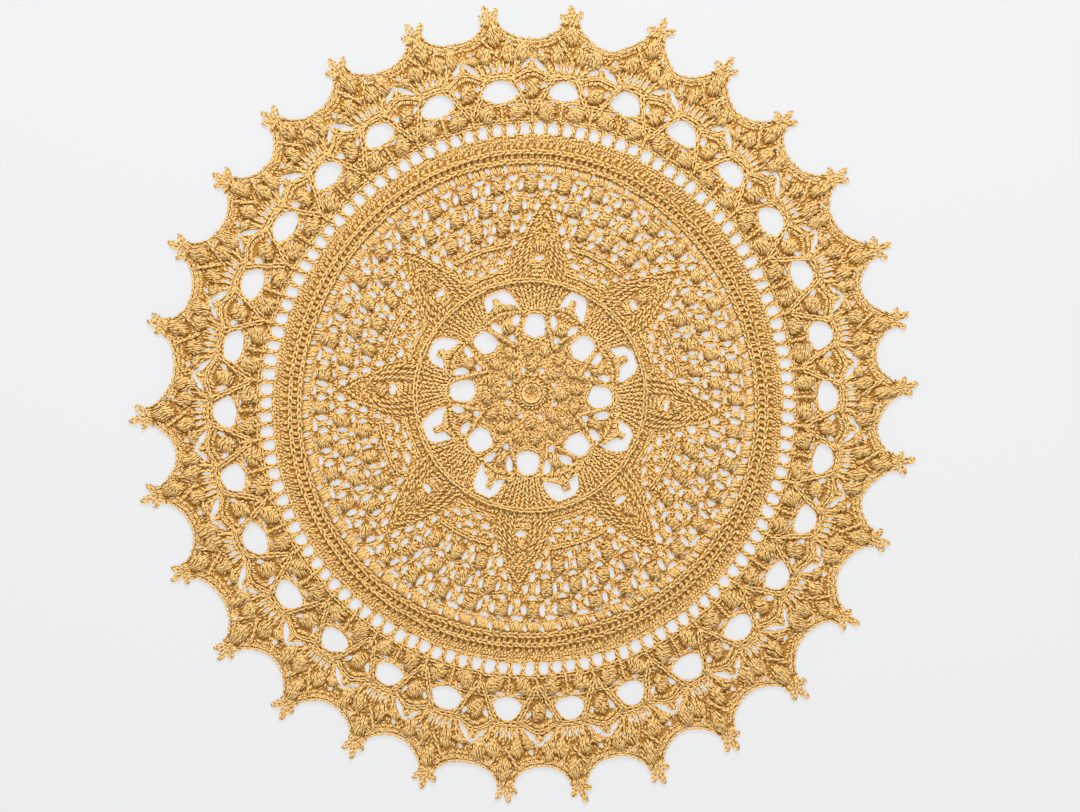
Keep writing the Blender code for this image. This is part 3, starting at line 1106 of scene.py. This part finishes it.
def thread_material(settings):
    """Plied cotton with a slight sheen, made once for all the pieces in thread."""
    found = bpy.data.materials.get("ochre thread")
    if found:
        return found
    material, tree, shader = new_material(
        "ochre thread",
        {
            "Roughness": 0.5,
            "Specular IOR Level": 0.65,
            "Sheen Weight": 0.06,
            "Sheen Roughness": 0.4,
            "Sheen Tint": (1.0, 0.85, 0.6, 1.0),
        },
    )
    shade = node(tree, "ShaderNodeGroup", node_tree=shade_group())
    set_inputs(
        shade,
        {"Thread": (*settings.thread_colour, 1.0), "Deep": (*settings.deep_shade_colour, 1.0)},
    )
    ply = node(tree, "ShaderNodeGroup", node_tree=ply_group())
    bump = node(tree, "ShaderNodeBump", {"Strength": 0.8, "Distance": 0.0002})
    wire(
        tree,
        (shade, "Color", shader, "Base Color"),
        (ply, "Height", bump, "Height"),
        (bump, "Normal", shader, "Normal"),
    )
    return material


def shade_sheet_material(settings):
    """A sheet under the stitches in painted shade, standing for their shaded deeper loops, and half
    as bright again between its strands.
    """
    material, tree, shader = new_material("close under-loops", {"Roughness": 0.85})
    spot = node(tree, "ShaderNodeTexCoord")
    strands = node(tree, "ShaderNodeTexVoronoi", {"Scale": 620.0})
    colours = node(tree, "ShaderNodeValToRGB")
    # Painted shade: the sheet's colour, falling to half of it between its strands.
    colours.color_ramp.elements[0].color = (*settings.shade_sheet_colour, 1.0)
    colours.color_ramp.elements[1].color = (*[0.5 * part for part in settings.shade_sheet_colour], 1.0)
    bump = node(tree, "ShaderNodeBump", {"Strength": 0.8, "Distance": 0.0004}, invert=True)
    wire(
        tree,
        (spot, "Object", strands, "Vector"),
        (strands, "Distance", colours, "Fac"),
        (colours, "Color", shader, "Base Color"),
        (strands, "Distance", bump, "Height"),
        (bump, "Normal", shader, "Normal"),
    )
    return material


# Strength of the table's own light, where all of its brightness is its own.
TABLE_LIGHT = 1.25


def table_material(colour, glow):
    """A pale surface that gives off part of its brightness, so that it stays bright in openings."""
    values = {
        "Base Color": (*[(1 - glow) * part for part in colour], 1.0),
        "Roughness": 0.8,
        "Emission Color": (*colour, 1.0),
        "Emission Strength": glow * TABLE_LIGHT,
    }
    return new_material("pale table", values)[0]


# --- What a user would change ---


class DoilyThread(bpy.types.PropertyGroup):
    """The thread and how it is worked."""

    thread: bpy.props.FloatProperty(
        name="Thread", description="How thick the thread is", default=0.00106, unit="LENGTH"
    )
    unevenness: bpy.props.FloatProperty(
        name="Unevenness",
        description="How far each loop of thread strays from its place",
        default=0.00016,
        unit="LENGTH",
    )
    thread_colour: bpy.props.FloatVectorProperty(
        name="Thread colour",
        description="The dyed cotton where light falls on it",
        subtype="COLOR",
        size=3,
        default=(0.93, 0.58, 0.195),
    )
    # Painted shade: the colour that the thread is darkened to low down among the stitches, where
    # shade falls between them.
    deep_shade_colour: bpy.props.FloatVectorProperty(
        name="Deep colour",
        description="The cotton low down among the stitches",
        subtype="COLOR",
        size=3,
        default=(0.74, 0.3, 0.012),
    )
    # Painted shade: the colour of the sheet that fills the shade between the stitches.
    shade_sheet_colour: bpy.props.FloatVectorProperty(
        name="Sheet colour",
        description="The close under-loops between the stitches",
        subtype="COLOR",
        size=3,
        default=(0.52, 0.23, 0.02),
    )


class DoilyStage(bpy.types.PropertyGroup):
    """The table, the light and the camera."""

    floor_colour: bpy.props.FloatVectorProperty(
        name="Table colour",
        description="The pale surface that the doily lies on",
        subtype="COLOR",
        size=3,
        default=(0.645, 0.65, 0.66),
    )
    floor_glow: bpy.props.FloatProperty(
        name="Table glow",
        description="How much of its brightness the table gives off itself",
        default=0.78,
        subtype="FACTOR",
    )
    camera_height: bpy.props.FloatProperty(
        name="Camera height", description="Over the table", default=1.5, unit="LENGTH"
    )
    frame_width: bpy.props.FloatProperty(
        name="Width in view", description="How much of the table shows", default=0.54, unit="LENGTH"
    )
    key_power: bpy.props.FloatProperty(
        name="Key light", description="Power of the large soft light", default=27.2, unit="POWER"
    )
    sky: bpy.props.FloatProperty(
        name="Room light", description="Strength of the even light of the room", default=0.8
    )


# --- Pieces ---

# Every function here gives groups of strands: one part of the doily, all the way round.


def large_rim_strands():
    """The thread that bounds the large openings, which have more corners than the shapes above."""
    return [rimmed(group, 12) for group in opening_groups() if group.shape[1] > len(OVAL)]


def small_rim_strands():
    """The thread that bounds the small openings."""
    return [rimmed(group, 8) for group in opening_groups() if group.shape[1] == len(OVAL)]


# Radius and height of the threads of the ring in the middle.
RING_THREADS = ((3.5, 2.4), (4.1, 3.0), (4.8, 3.1), (5.4, 2.6))
SPOKES = 16


def medallion_strands():
    """The medallion: its ring, its crossed cords, and its roofs and picots."""
    random = np.random.default_rng(16)
    spoke = smooth(((0.0, 0.8, 0.9), (0.0, 2.2, 1.7), (0.0, 3.4, 2.5)), 5)[None]
    turn = np.linspace(0, 360, 29)
    rings = [np.column_stack((turn, 0 * turn + r, 0 * turn + z)) for r, z in RING_THREADS]
    arm = cord(line((4.0, 8.6), (9.0, 10.6), (13.0, 12.8)), 1.0, 0.8, 7, 1.6)
    left_leg = line((22.5, 24.7), (18.0, 28.2), (14.0, 31.6), (10.8, 34.6), (7.4, 38.4))
    right_leg = line((24.6, 24.9), (27.0, 29.4), (29.8, 33.4), (31.6, 36.6), (33.4, 39.8))
    roof_low = line((7.6, 40.2), (14.0, 40.6), (22.0, 41.2), (30.0, 40.6), (36.0, 40.2))
    roof_mid = line((8.6, 42.2), (15.0, 42.8), (22.0, 43.4), (29.4, 42.8), (35.4, 42.2))
    roof_high = line((9.4, 43.8), (15.4, 44.8), (21.8, 47.4), (28.2, 44.8), (34.6, 43.8))
    hem = line((-11.6, 29.6), (-5.0, 27.4), (0.5, 27.0), (5.0, 27.4), (11.6, 29.6))
    brow = line((-8.4, 39.6), (-4.6, 41.2), (0.0, 41.7), (3.6, 41.3), (8.0, 39.8))
    return [
        np.array(rings),
        *spread(turns_of(SPOKES, 0.0), spoke),
        worked(arc(5.9), arc(8.3), 14, DASHES, 0.3),
        worked(arc(8.7), arc(10.9), 18, SINGLE, 0.1),
        *spread(POPCORN_TURNS, both_sides(arm)),
        *spread(
            SECTOR_TURNS,
            rope(left_leg, 1.5, 1.7, 2.3),
            rope(right_leg, 1.5, 1.7, 2.3, -1),
            chain(hem, 4, 1.9, 0.3),
            chain(brow, 4, 2.0, 0.5),
            worked(roof_low, roof_mid, 9, DASHES, 0.3),
            worked(roof_high, roof_mid, 9, DASHES, 0.5),
            chain(aside(roof_high, 0.4), 8, 1.5, 0.8),
        ),
        picots(places_at(SECTOR_TURNS, (21.7, 46.6)), 1.3, 4.4, 0.0, random),
    ]


def star_strands():
    """The fans of columns and the corded star round them."""
    swell = np.array((0.8, 2.1))
    fans = [
        rope(line((0.68 * x + 0.3, 42.2), (x, 56.8)), 1.75, swell, 0.1, (-1) ** column)
        for column, x in enumerate(np.linspace(-11.4, 14.2, 11))
    ]
    cords = (
        line((11.0, 58.8), (10.1, 66.4), (8.1, 73.4)),
        line((7.9, 58.8), (7.6, 67.6), (6.0, 76.2)),
        line((4.8, 58.8), (5.1, 69.2), (3.7, 79.0)),
    )
    edge = line((8.2, 73.6), (6.4, 78.0), (4.9, 83.0), (3.6, 88.0), (2.2, 92.4), (0.5, 97.0))
    nested = [
        rope(line((side * wide, low), (0.0, low + 6.4)), 1.5, 1.5, 0.3, side)
        for wide, low in ((4.8, 78.6), (3.0, 86.0))
        for side in (-1, 1)
    ]
    rows = [
        worked(arc(radius, -2.6, 2.6), arc(radius + 1.9, -2.6, 2.6), 3, DASHES, 0.2)
        for radius in (59.2, 61.4, 63.6)
    ]
    return [
        *spread(
            SECTOR_TURNS,
            np.concatenate(fans),
            np.concatenate(rows),
            *nested,
            chain(arc(66.0, -3.2, 3.2), 3, 1.6, 0.3),
            both_sides(rope(edge, 1.6, 1.5, 0.35)),
        ),
        chain(arc(57.5), 112, 1.9, 1.7),
        *spread(SECTOR_TURNS, *(both_sides(rope(path, 2.2, 1.8, 0.55)) for path in cords)),
    ]


# The net's rounds of bobbles: radius, degrees in the sector, and the bobbles' width.
NET_ROWS = (
    (85.0, (13.5, 22.5, 31.5), 6.6),
    (95.0, (9.0, 18.0, 27.0, 36.0), 6.8),
    (105.0, (4.5, 13.5, 22.5, 31.5, 40.5), 7.1),
)


def net_bobble_strands():
    """The bobbles of the net."""
    random = np.random.default_rng(14)
    dome = Dome(7.2, 8.1, 3.7, -34.0, 11, 0.6)
    found = []
    for radius, degrees, width in NET_ROWS:
        places = places_at(SECTOR_TURNS, *((s, radius) for s in degrees))
        found.append(lumps(places, dome._replace(width=width), random, 12.0))
    return found


def medallion_bobble_strands():
    """The medallion's popcorns, clusters and teardrops, and the star's knobs."""
    random = np.random.default_rng(19)
    popcorn = Dome(6.2, 6.6, 3.4, -12.0, 9, 0.5)
    cluster = Dome(5.8, 6.0, 3.2, -20.0, 8, 0.6)
    teardrop = Dome(6.0, 8.2, 3.2, 90.0, 8, 0.5)
    knob = Dome(6.0, 6.2, 2.4, 60.0, 7, 0.5)
    return [
        lumps(places_at(POPCORN_TURNS, (0.0, 14.6)), popcorn, random, 30.0),
        lumps(places_at(turns_of(SPOKES, -4.9), (0.0, 22.3)), cluster, random, 60.0),
        lumps(places_at(SECTOR_TURNS, (22.5, 35.2)), teardrop, random, 30.0),
        lumps(places_at(SECTOR_TURNS, (0.0, 74.6)), knob, random, 60.0),
    ]


def outer_bobble_strands():
    """The large bobbles over the ladder, those in the arches and the puffs of the edge."""
    random = np.random.default_rng(13)
    large = Dome(9.0, 8.7, 3.7, 32.0, 12, 0.95)
    arched = Dome(7.6, 9.4, 3.6, -52.0, 12, 0.8)
    puff = Dome(6.4, 9.6, 3.2, 97.0, 9, 0.8)
    rows = (
        (-3.0, 141.4, large, 15.0),
        (3.0, 141.4, large._replace(turn=-38.0), 15.0),
        (6.0, 153.4, arched, 10.0),
        (-4.0, 169.2, puff._replace(width=5.6, height=5.0), 8.0),
        (-1.8, 171.9, puff, 8.0),
        (2.3, 171.9, puff._replace(turn=82.0), 8.0),
        (4.5, 172.2, puff._replace(height=11.4), 8.0),
        (0.3, 182.6, puff._replace(height=12.4), 20.0),
    )
    return [
        lumps(places_at(REPEAT_TURNS, (deg, radius)), dome, random, sway)
        for deg, radius, dome, sway in rows
    ]


# Half the way from a bobble to the next in degrees, how a post leans in degrees, half its height
# in mm, and the arc over a bobble, in degrees from its middle and mm outwards.
NET_HALF = 4.5
POST_LEAN = 0.6
POST_HALF = 2.8
NET_ARC = ((-NET_HALF, POST_HALF), (-2.0, 4.0), (0.0, 4.7), (2.0, 4.0), (NET_HALF, POST_HALF))


def net_strands():
    """The crossed posts and the arcs between the small bobbles."""
    posts = []
    arcs = []
    for radius, degrees, _ in NET_ROWS:
        for s in (*(s - NET_HALF for s in degrees), degrees[-1] + NET_HALF):
            for lean in (-POST_LEAN, POST_LEAN):
                path = line((s + lean, radius - POST_HALF), (s - lean, radius + POST_HALF))
                posts.append(cord(path, 0.5, 0.7, 6, 1.6))
        for s in degrees:
            arcs.append(chain(line(*((s + t, radius + out) for t, out in NET_ARC)), 5, 1.4))
    return spread(
        SECTOR_TURNS,
        np.concatenate(posts),
        np.concatenate(arcs),
        chain(arc(75.9, 12.0, 33.0), 12, 1.8, 1.0),
        chain(arc(63.2, 13.0, 32.0), 8, 1.6, 0.3),
    )


# How many stitches go round the band and round the ladder.
BAND_STITCHES = 240
LADDER_STITCHES = 300


def band_post_strands():
    """The band's round of posts, in groups with a hole between them, and its two rounds of bars."""
    posts = worked(arc(110.0, 0.65, 3.85), arc(115.6, -0.15, 3.35), 4, POSTS)
    return [
        chain(arc(110.7), BAND_STITCHES, 1.6, -0.35),
        *spread(BAND_TURNS, posts),
        worked(arc(117.4), arc(120.2), BAND_STITCHES, BARS),
        worked(arc(122.2), arc(125.0), BAND_STITCHES, BARS, -0.2),
    ]


def band_ridge_strands():
    """The band's two raised ridges and its rounds of single crochet."""
    return [
        *(chain(arc(radius), BAND_STITCHES, 2.1, 1.5, VEES) for radius in (116.4, 121.1)),
        chain(arc(125.8), BAND_STITCHES, 1.6, -0.3),
        chain(arc(127.8), BAND_STITCHES, 1.6, -0.3),
        worked(arc(125.0), arc(126.3), BAND_STITCHES, BUDS, 0.2),
        worked(arc(126.4, 0.4, 360.4), arc(127.7, 0.7, 360.7), BAND_STITCHES, BUDS, 0.15),
        worked(arc(127.8), arc(129.0), BAND_STITCHES, BUDS, 0.05),
        chain(arc(129.7), BAND_STITCHES, 1.5, 0.2),
    ]


def ladder_strands():
    """The round of bars, and the posts and the rounds of chain beside the large bobbles."""
    bars = [cord(line((t, 129.6), (t, 137.0)), 1.1, 1.4, 8) for t in (-3.0, 0.0, 3.0, 6.0)]
    posts = [rope(line((t, 136.0), (t, 146.4)), 1.6, 1.5, 1.3) for t in (0.0, 6.0)]
    return [
        *spread(REPEAT_TURNS, np.concatenate(bars), np.concatenate(posts)),
        chain(arc(136.8), LADDER_STITCHES, 1.8, 0.3),
        chain(arc(146.2), LADDER_STITCHES, 1.9, 0.2),
    ]


def arch_strands():
    """The arches with their roofs, picots and fanned legs."""
    random = np.random.default_rng(12)
    leg = line((5.5, 141.6), (4.9, 144.6), (4.1, 148.4), (3.5, 151.6), (3.0, 154.8), (2.1, 158.9))
    swag = line((-4.0, 151.4), (-2.4, 148.0), (0.0, 145.9), (2.4, 148.0), (4.0, 151.4))
    brow = line((-2.8, 158.4), (-1.6, 159.7), (0.0, 160.1), (1.6, 159.7), (2.8, 158.4))
    crown = line((-3.2, 160.7), (-1.8, 161.7), (0.0, 162.0), (1.8, 161.7), (3.2, 160.7))
    top = ((5.2, 162.6), (6.0, 162.9), (6.8, 162.6))
    gable = line((2.3, 158.8), (4.0, 161.2), *top, (8.0, 161.2), (9.7, 158.8))
    wing = line((2.1, 160.6), (3.1, 164.8), (4.4, 168.4), (6.0, 170.4))
    ribs = [
        cord(line((0.84 * x, 161.4), (x, 168.8)), 1.4, 0.5, 8, 1.9, x)
        for x in np.linspace(-3.3, 3.3, 7)
    ]
    return [
        *spread(
            REPEAT_TURNS,
            both_sides(chain(leg, 6, 2.0, 1.4)),
            cord(swag, 5, 0.9, 21, 1.3),
            chain(brow, 5, 1.8, 0.5),
            chain(crown, 6, 1.7, 0.2),
            worked(aside(gable, -3.4), aside(gable, -1.2), 9, DASHES, 0.2),
            chain(gable, 8, 1.5, 0.4),
            both_sides(cord(wing, 3, 0.6, 13)),
        ),
        picots(places_at(REPEAT_TURNS, (6.0, 163.4)), 1.0, 4.4, 0.0, random),
        *spread(REPEAT_TURNS, np.concatenate(ribs)),
    ]


def edge_strands():
    """The crossed posts, the scalloped edge and its groups of three picots."""
    random = np.random.default_rng(17)
    left = cord(line((0.4, 171.0), (-0.9, 176.4), (-1.9, 181.6)), 1.8, 1.0, 11, 2.3)
    right = cord(line((1.0, 171.0), (1.9, 176.6), (2.7, 181.2)), 1.8, 1.0, 11, 2.3)
    t = np.linspace(-6.0, -1.4, 16)
    edge = np.column_stack((t, [scallop(x) for x in t]))
    rows = [
        chain(aside(edge, -1.0), 8, 2.0, 0.2),
        worked(aside(edge, -3.2), aside(edge, -1.8), 9, DASHES),
        worked(aside(edge, -3.4), aside(edge, -5.2), 9, DASHES),
    ]
    cap = worked(
        line((-1.6, 187.6), (1.6, 187.6)), line((-1.0, 191.2), (1.0, 191.2)), 4, DASHES, 0.3
    )
    return [
        *spread(REPEAT_TURNS, left, right, *map(both_sides, rows), cap),
        picots(places_at(REPEAT_TURNS, (-0.1, 190.6)), 2.9, 8.4, -4.0, random),
        picots(places_at(REPEAT_TURNS, (-0.2, 190.2)), 2.8, 5.6, -60.0, random),
        picots(places_at(REPEAT_TURNS, (0.2, 190.4)), 2.8, 7.0, 40.0, random),
    ]


# The filling's knots, from large to small, as their pitch and their rows' step in mm, and the
# rounds that they fill, inside and outside the band, by radius.
KNOT_SIZES = ((2.5, 2.2), (1.8, 1.5), (1.4, 1.2))
FILLED = ((11.0, 110.0), (130.0, 191.0))


@functools.cache
def filling():
    """Small stitches wherever the other parts would leave the sheet bare, inside and outside."""
    random = np.random.default_rng(18)
    pattern = PatternMap()
    for piece in RIMS + MEDALLION + STAR + NET + LADDER + ARCHES + EDGE + BOBBLES:
        for strands in piece.strands_of():
            pattern.cover(strands, piece.clear)
    found = []
    for inner, outer in FILLED:
        rows = []
        for pitch, row in KNOT_SIZES:
            rows += knots(inner, outer, pattern, random, pitch, row)
        found.append(rows)
    return found


def inner_filling_strands():
    """The filling inside the band."""
    return filling()[0]


def outer_filling_strands():
    """The filling outside the band."""
    return filling()[1]


# What a piece is made of: its strands, its thread against the full thickness, how far the filling
# keeps clear of it, and whether stitches that would cross an opening are left out.
Piece = namedtuple("Piece", "name strands_of share clear trimmed", defaults=(1.0, 0.5, True))
RIMS = (
    Piece("large_rims", large_rim_strands, trimmed=False),
    Piece("small_rims", small_rim_strands, trimmed=False),
)
MEDALLION = (Piece("medallion", medallion_strands),)
STAR = (Piece("fans_and_star", star_strands),)
NET = (Piece("net_posts", net_strands),)
BAND = (Piece("band_posts", band_post_strands), Piece("band_ridges", band_ridge_strands))
LADDER = (Piece("ladder", ladder_strands),)
ARCHES = (Piece("arches", arch_strands),)
EDGE = (Piece("scalloped_edge", edge_strands),)
BOBBLES = (
    Piece("medallion_bobbles", medallion_bobble_strands, 0.84, 0.95, False),
    Piece("net_bobbles", net_bobble_strands, 0.84, 0.9, False),
    Piece("outer_bobbles", outer_bobble_strands, 0.84, 0.9, False),
)
FILLING = (
    Piece("inner_filling", inner_filling_strands, trimmed=False),
    Piece("outer_filling", outer_filling_strands, trimmed=False),
)


# Strands of this many points or more are cords and paths, which run on past openings.
CORD_POINTS = 6


class InThread:
    """Works an operator's pieces in thread."""

    pieces = ()

    def execute(self, context):
        pattern = PatternMap()
        for piece in self.pieces:
            groups = piece.strands_of()
            if piece.trimmed:
                groups = [
                    pattern.closed(part) if part.shape[1] < CORD_POINTS else part for part in groups
                ]
            thread_piece(piece, groups, context.scene.doily_thread)
        return {"FINISHED"}


class DOILY_OT_rims(InThread, bpy.types.Operator):
    """Work the thread that bounds the openings"""

    bl_idname = "doily.rims"
    bl_label = "Rims of openings"
    pieces = RIMS


class DOILY_OT_medallion(InThread, bpy.types.Operator):
    """Work the medallion: its ring, its crossed cords, and its roofs and picots"""

    bl_idname = "doily.medallion"
    bl_label = "Medallion"
    pieces = MEDALLION


class DOILY_OT_star(InThread, bpy.types.Operator):
    """Work the fans of columns and the corded star round them"""

    bl_idname = "doily.star"
    bl_label = "Fans and star"
    pieces = STAR


class DOILY_OT_net(InThread, bpy.types.Operator):
    """Work the crossed posts and arcs of the net"""

    bl_idname = "doily.net"
    bl_label = "Net"
    pieces = NET


class DOILY_OT_band(InThread, bpy.types.Operator):
    """Work the ribbed band: posts, two raised ridges and single crochet"""

    bl_idname = "doily.band"
    bl_label = "Ribbed band"
    pieces = BAND


class DOILY_OT_ladder(InThread, bpy.types.Operator):
    """Work the round of bars"""

    bl_idname = "doily.ladder"
    bl_label = "Ladder"
    pieces = LADDER


class DOILY_OT_arches(InThread, bpy.types.Operator):
    """Work the arches with their roofs, picots and fanned legs"""

    bl_idname = "doily.arches"
    bl_label = "Arches"
    pieces = ARCHES


class DOILY_OT_edge(InThread, bpy.types.Operator):
    """Work the scalloped edge with its picots"""

    bl_idname = "doily.edge"
    bl_label = "Scalloped edge"
    pieces = EDGE


class DOILY_OT_bobbles(InThread, bpy.types.Operator):
    """Work the bobbles, popcorns and puffs"""

    bl_idname = "doily.bobbles"
    bl_label = "Bobbles"
    pieces = BOBBLES


class DOILY_OT_filling(InThread, bpy.types.Operator):
    """Fill in small stitches between the others"""

    bl_idname = "doily.filling"
    bl_label = "Filling stitches"
    pieces = FILLING


def area_inside(outline):
    """The area inside an outline of the pattern, where it lies on this doily."""
    x, y = place(outline[:, 0], outline[:, 1]).T * MM
    return abs(np.dot(x, np.roll(y, -1)) - np.dot(y, np.roll(x, -1))) / 2


def flat_area(outlines):
    """The area inside the first outline, less that of the others."""
    area, *openings = map(area_inside, outlines)
    for opening in openings:
        area -= opening
    return area


class DOILY_OT_sheet(bpy.types.Operator):
    """Lay a sheet in painted shade, with every opening in it, under the worked thread"""

    bl_idname = "doily.sheet"
    bl_label = "Sheet"

    def execute(self, context):
        outlines = sheet_outlines()
        # A sheet in painted shade, under the stitches.
        sheet = sheet_mesh("under_loops", outlines)
        sheet.data.materials.append(shade_sheet_material(context.scene.doily_thread))
        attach(sheet, BODY)
        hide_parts(NODE)
        area = flat_area(outlines)
        return {"FINISHED"}


# The stage, in metres: the table and how far it lies under the lace, the middle of the picture,
# the large soft light, and the colour of the room's light. The camera's sensor is in millimetres.
TABLE_SIZE = 6.0
TABLE_DROP = 0.0001
VIEW_MIDDLE = Vector((0.00825, -0.00075, 0.0))
KEY_PLACE = (0.05, 1.1, 1.25)
KEY_SIZE = 0.7
ROOM_COLOUR = (1.0, 0.98, 0.95, 1.0)
SENSOR = 36.0


class DOILY_OT_stage(bpy.types.Operator):
    """Set the table, the soft light and the camera"""

    bl_idname = "doily.stage"
    bl_label = "Table, light and camera"

    def execute(self, context):
        settings = context.scene.doily_stage
        scene = context.scene
        bpy.ops.object.select_all(action="DESELECT")
        bpy.ops.mesh.primitive_plane_add(size=TABLE_SIZE, location=(0.0, 0.0, -TABLE_DROP))
        table = context.object
        table.name = "table"
        table.data.materials.append(table_material(settings.floor_colour, settings.floor_glow))
        bpy.ops.object.light_add(type="AREA", location=KEY_PLACE)
        key = context.object
        key.name = "key light"
        key.data.shape = "DISK"
        key.data.size = KEY_SIZE
        key.data.energy = settings.key_power
        key.rotation_euler = (VIEW_MIDDLE - key.location).to_track_quat("-Z", "Y").to_euler()
        world = bpy.data.worlds.new("room")
        world.use_nodes = True
        background = world.node_tree.nodes["Background"]
        set_inputs(background, {"Color": ROOM_COLOUR, "Strength": settings.sky})
        scene.world = world
        above = Vector((0.0, 0.0, settings.camera_height))
        bpy.ops.object.camera_add(location=VIEW_MIDDLE + above)
        camera = context.object
        camera.name = "camera"
        camera.rotation_euler = (0.0, 0.0, 0.0)
        camera.data.sensor_width = SENSOR
        camera.data.lens = SENSOR * settings.camera_height / settings.frame_width
        scene.camera = camera
        scene.view_settings.view_transform = "Standard"
        return {"FINISHED"}


PIECE_OPERATORS = (
    DOILY_OT_rims,
    DOILY_OT_medallion,
    DOILY_OT_star,
    DOILY_OT_net,
    DOILY_OT_band,
    DOILY_OT_ladder,
    DOILY_OT_arches,
    DOILY_OT_edge,
    DOILY_OT_bobbles,
    DOILY_OT_filling,
    DOILY_OT_sheet,
    DOILY_OT_stage,
)


class DOILY_PT_panel(bpy.types.Panel):
    """The doily's sizes, colours and pieces"""

    bl_idname = "DOILY_PT_panel"
    bl_label = "Lace doily"
    bl_space_type = "VIEW_3D"
    bl_region_type = "UI"
    bl_category = "Doily"

    def draw(self, context):
        for settings in (context.scene.doily_thread, context.scene.doily_stage):
            box = self.layout.box()
            for name in settings.__annotations__:
                box.prop(settings, name)
        for operator in PIECE_OPERATORS:
            self.layout.operator(operator.bl_idname)


CLASSES = (DoilyThread, DoilyStage, *PIECE_OPERATORS, DOILY_PT_panel)


def register():
    for item in CLASSES:
        bpy.utils.register_class(item)
    bpy.types.Scene.doily_thread = bpy.props.PointerProperty(type=DoilyThread)
    bpy.types.Scene.doily_stage = bpy.props.PointerProperty(type=DoilyStage)


def unregister():
    del bpy.types.Scene.doily_stage
    del bpy.types.Scene.doily_thread
    for item in reversed(CLASSES):
        bpy.utils.unregister_class(item)


def main():
    register()
    bpy.ops.doily.rims()
    bpy.ops.doily.medallion()
    bpy.ops.doily.star()
    bpy.ops.doily.net()
    bpy.ops.doily.band()
    bpy.ops.doily.ladder()
    bpy.ops.doily.arches()
    bpy.ops.doily.edge()
    bpy.ops.doily.bobbles()
    bpy.ops.doily.filling()
    bpy.ops.doily.sheet()
    bpy.ops.doily.stage()


if __name__ == "__main__":
    main()
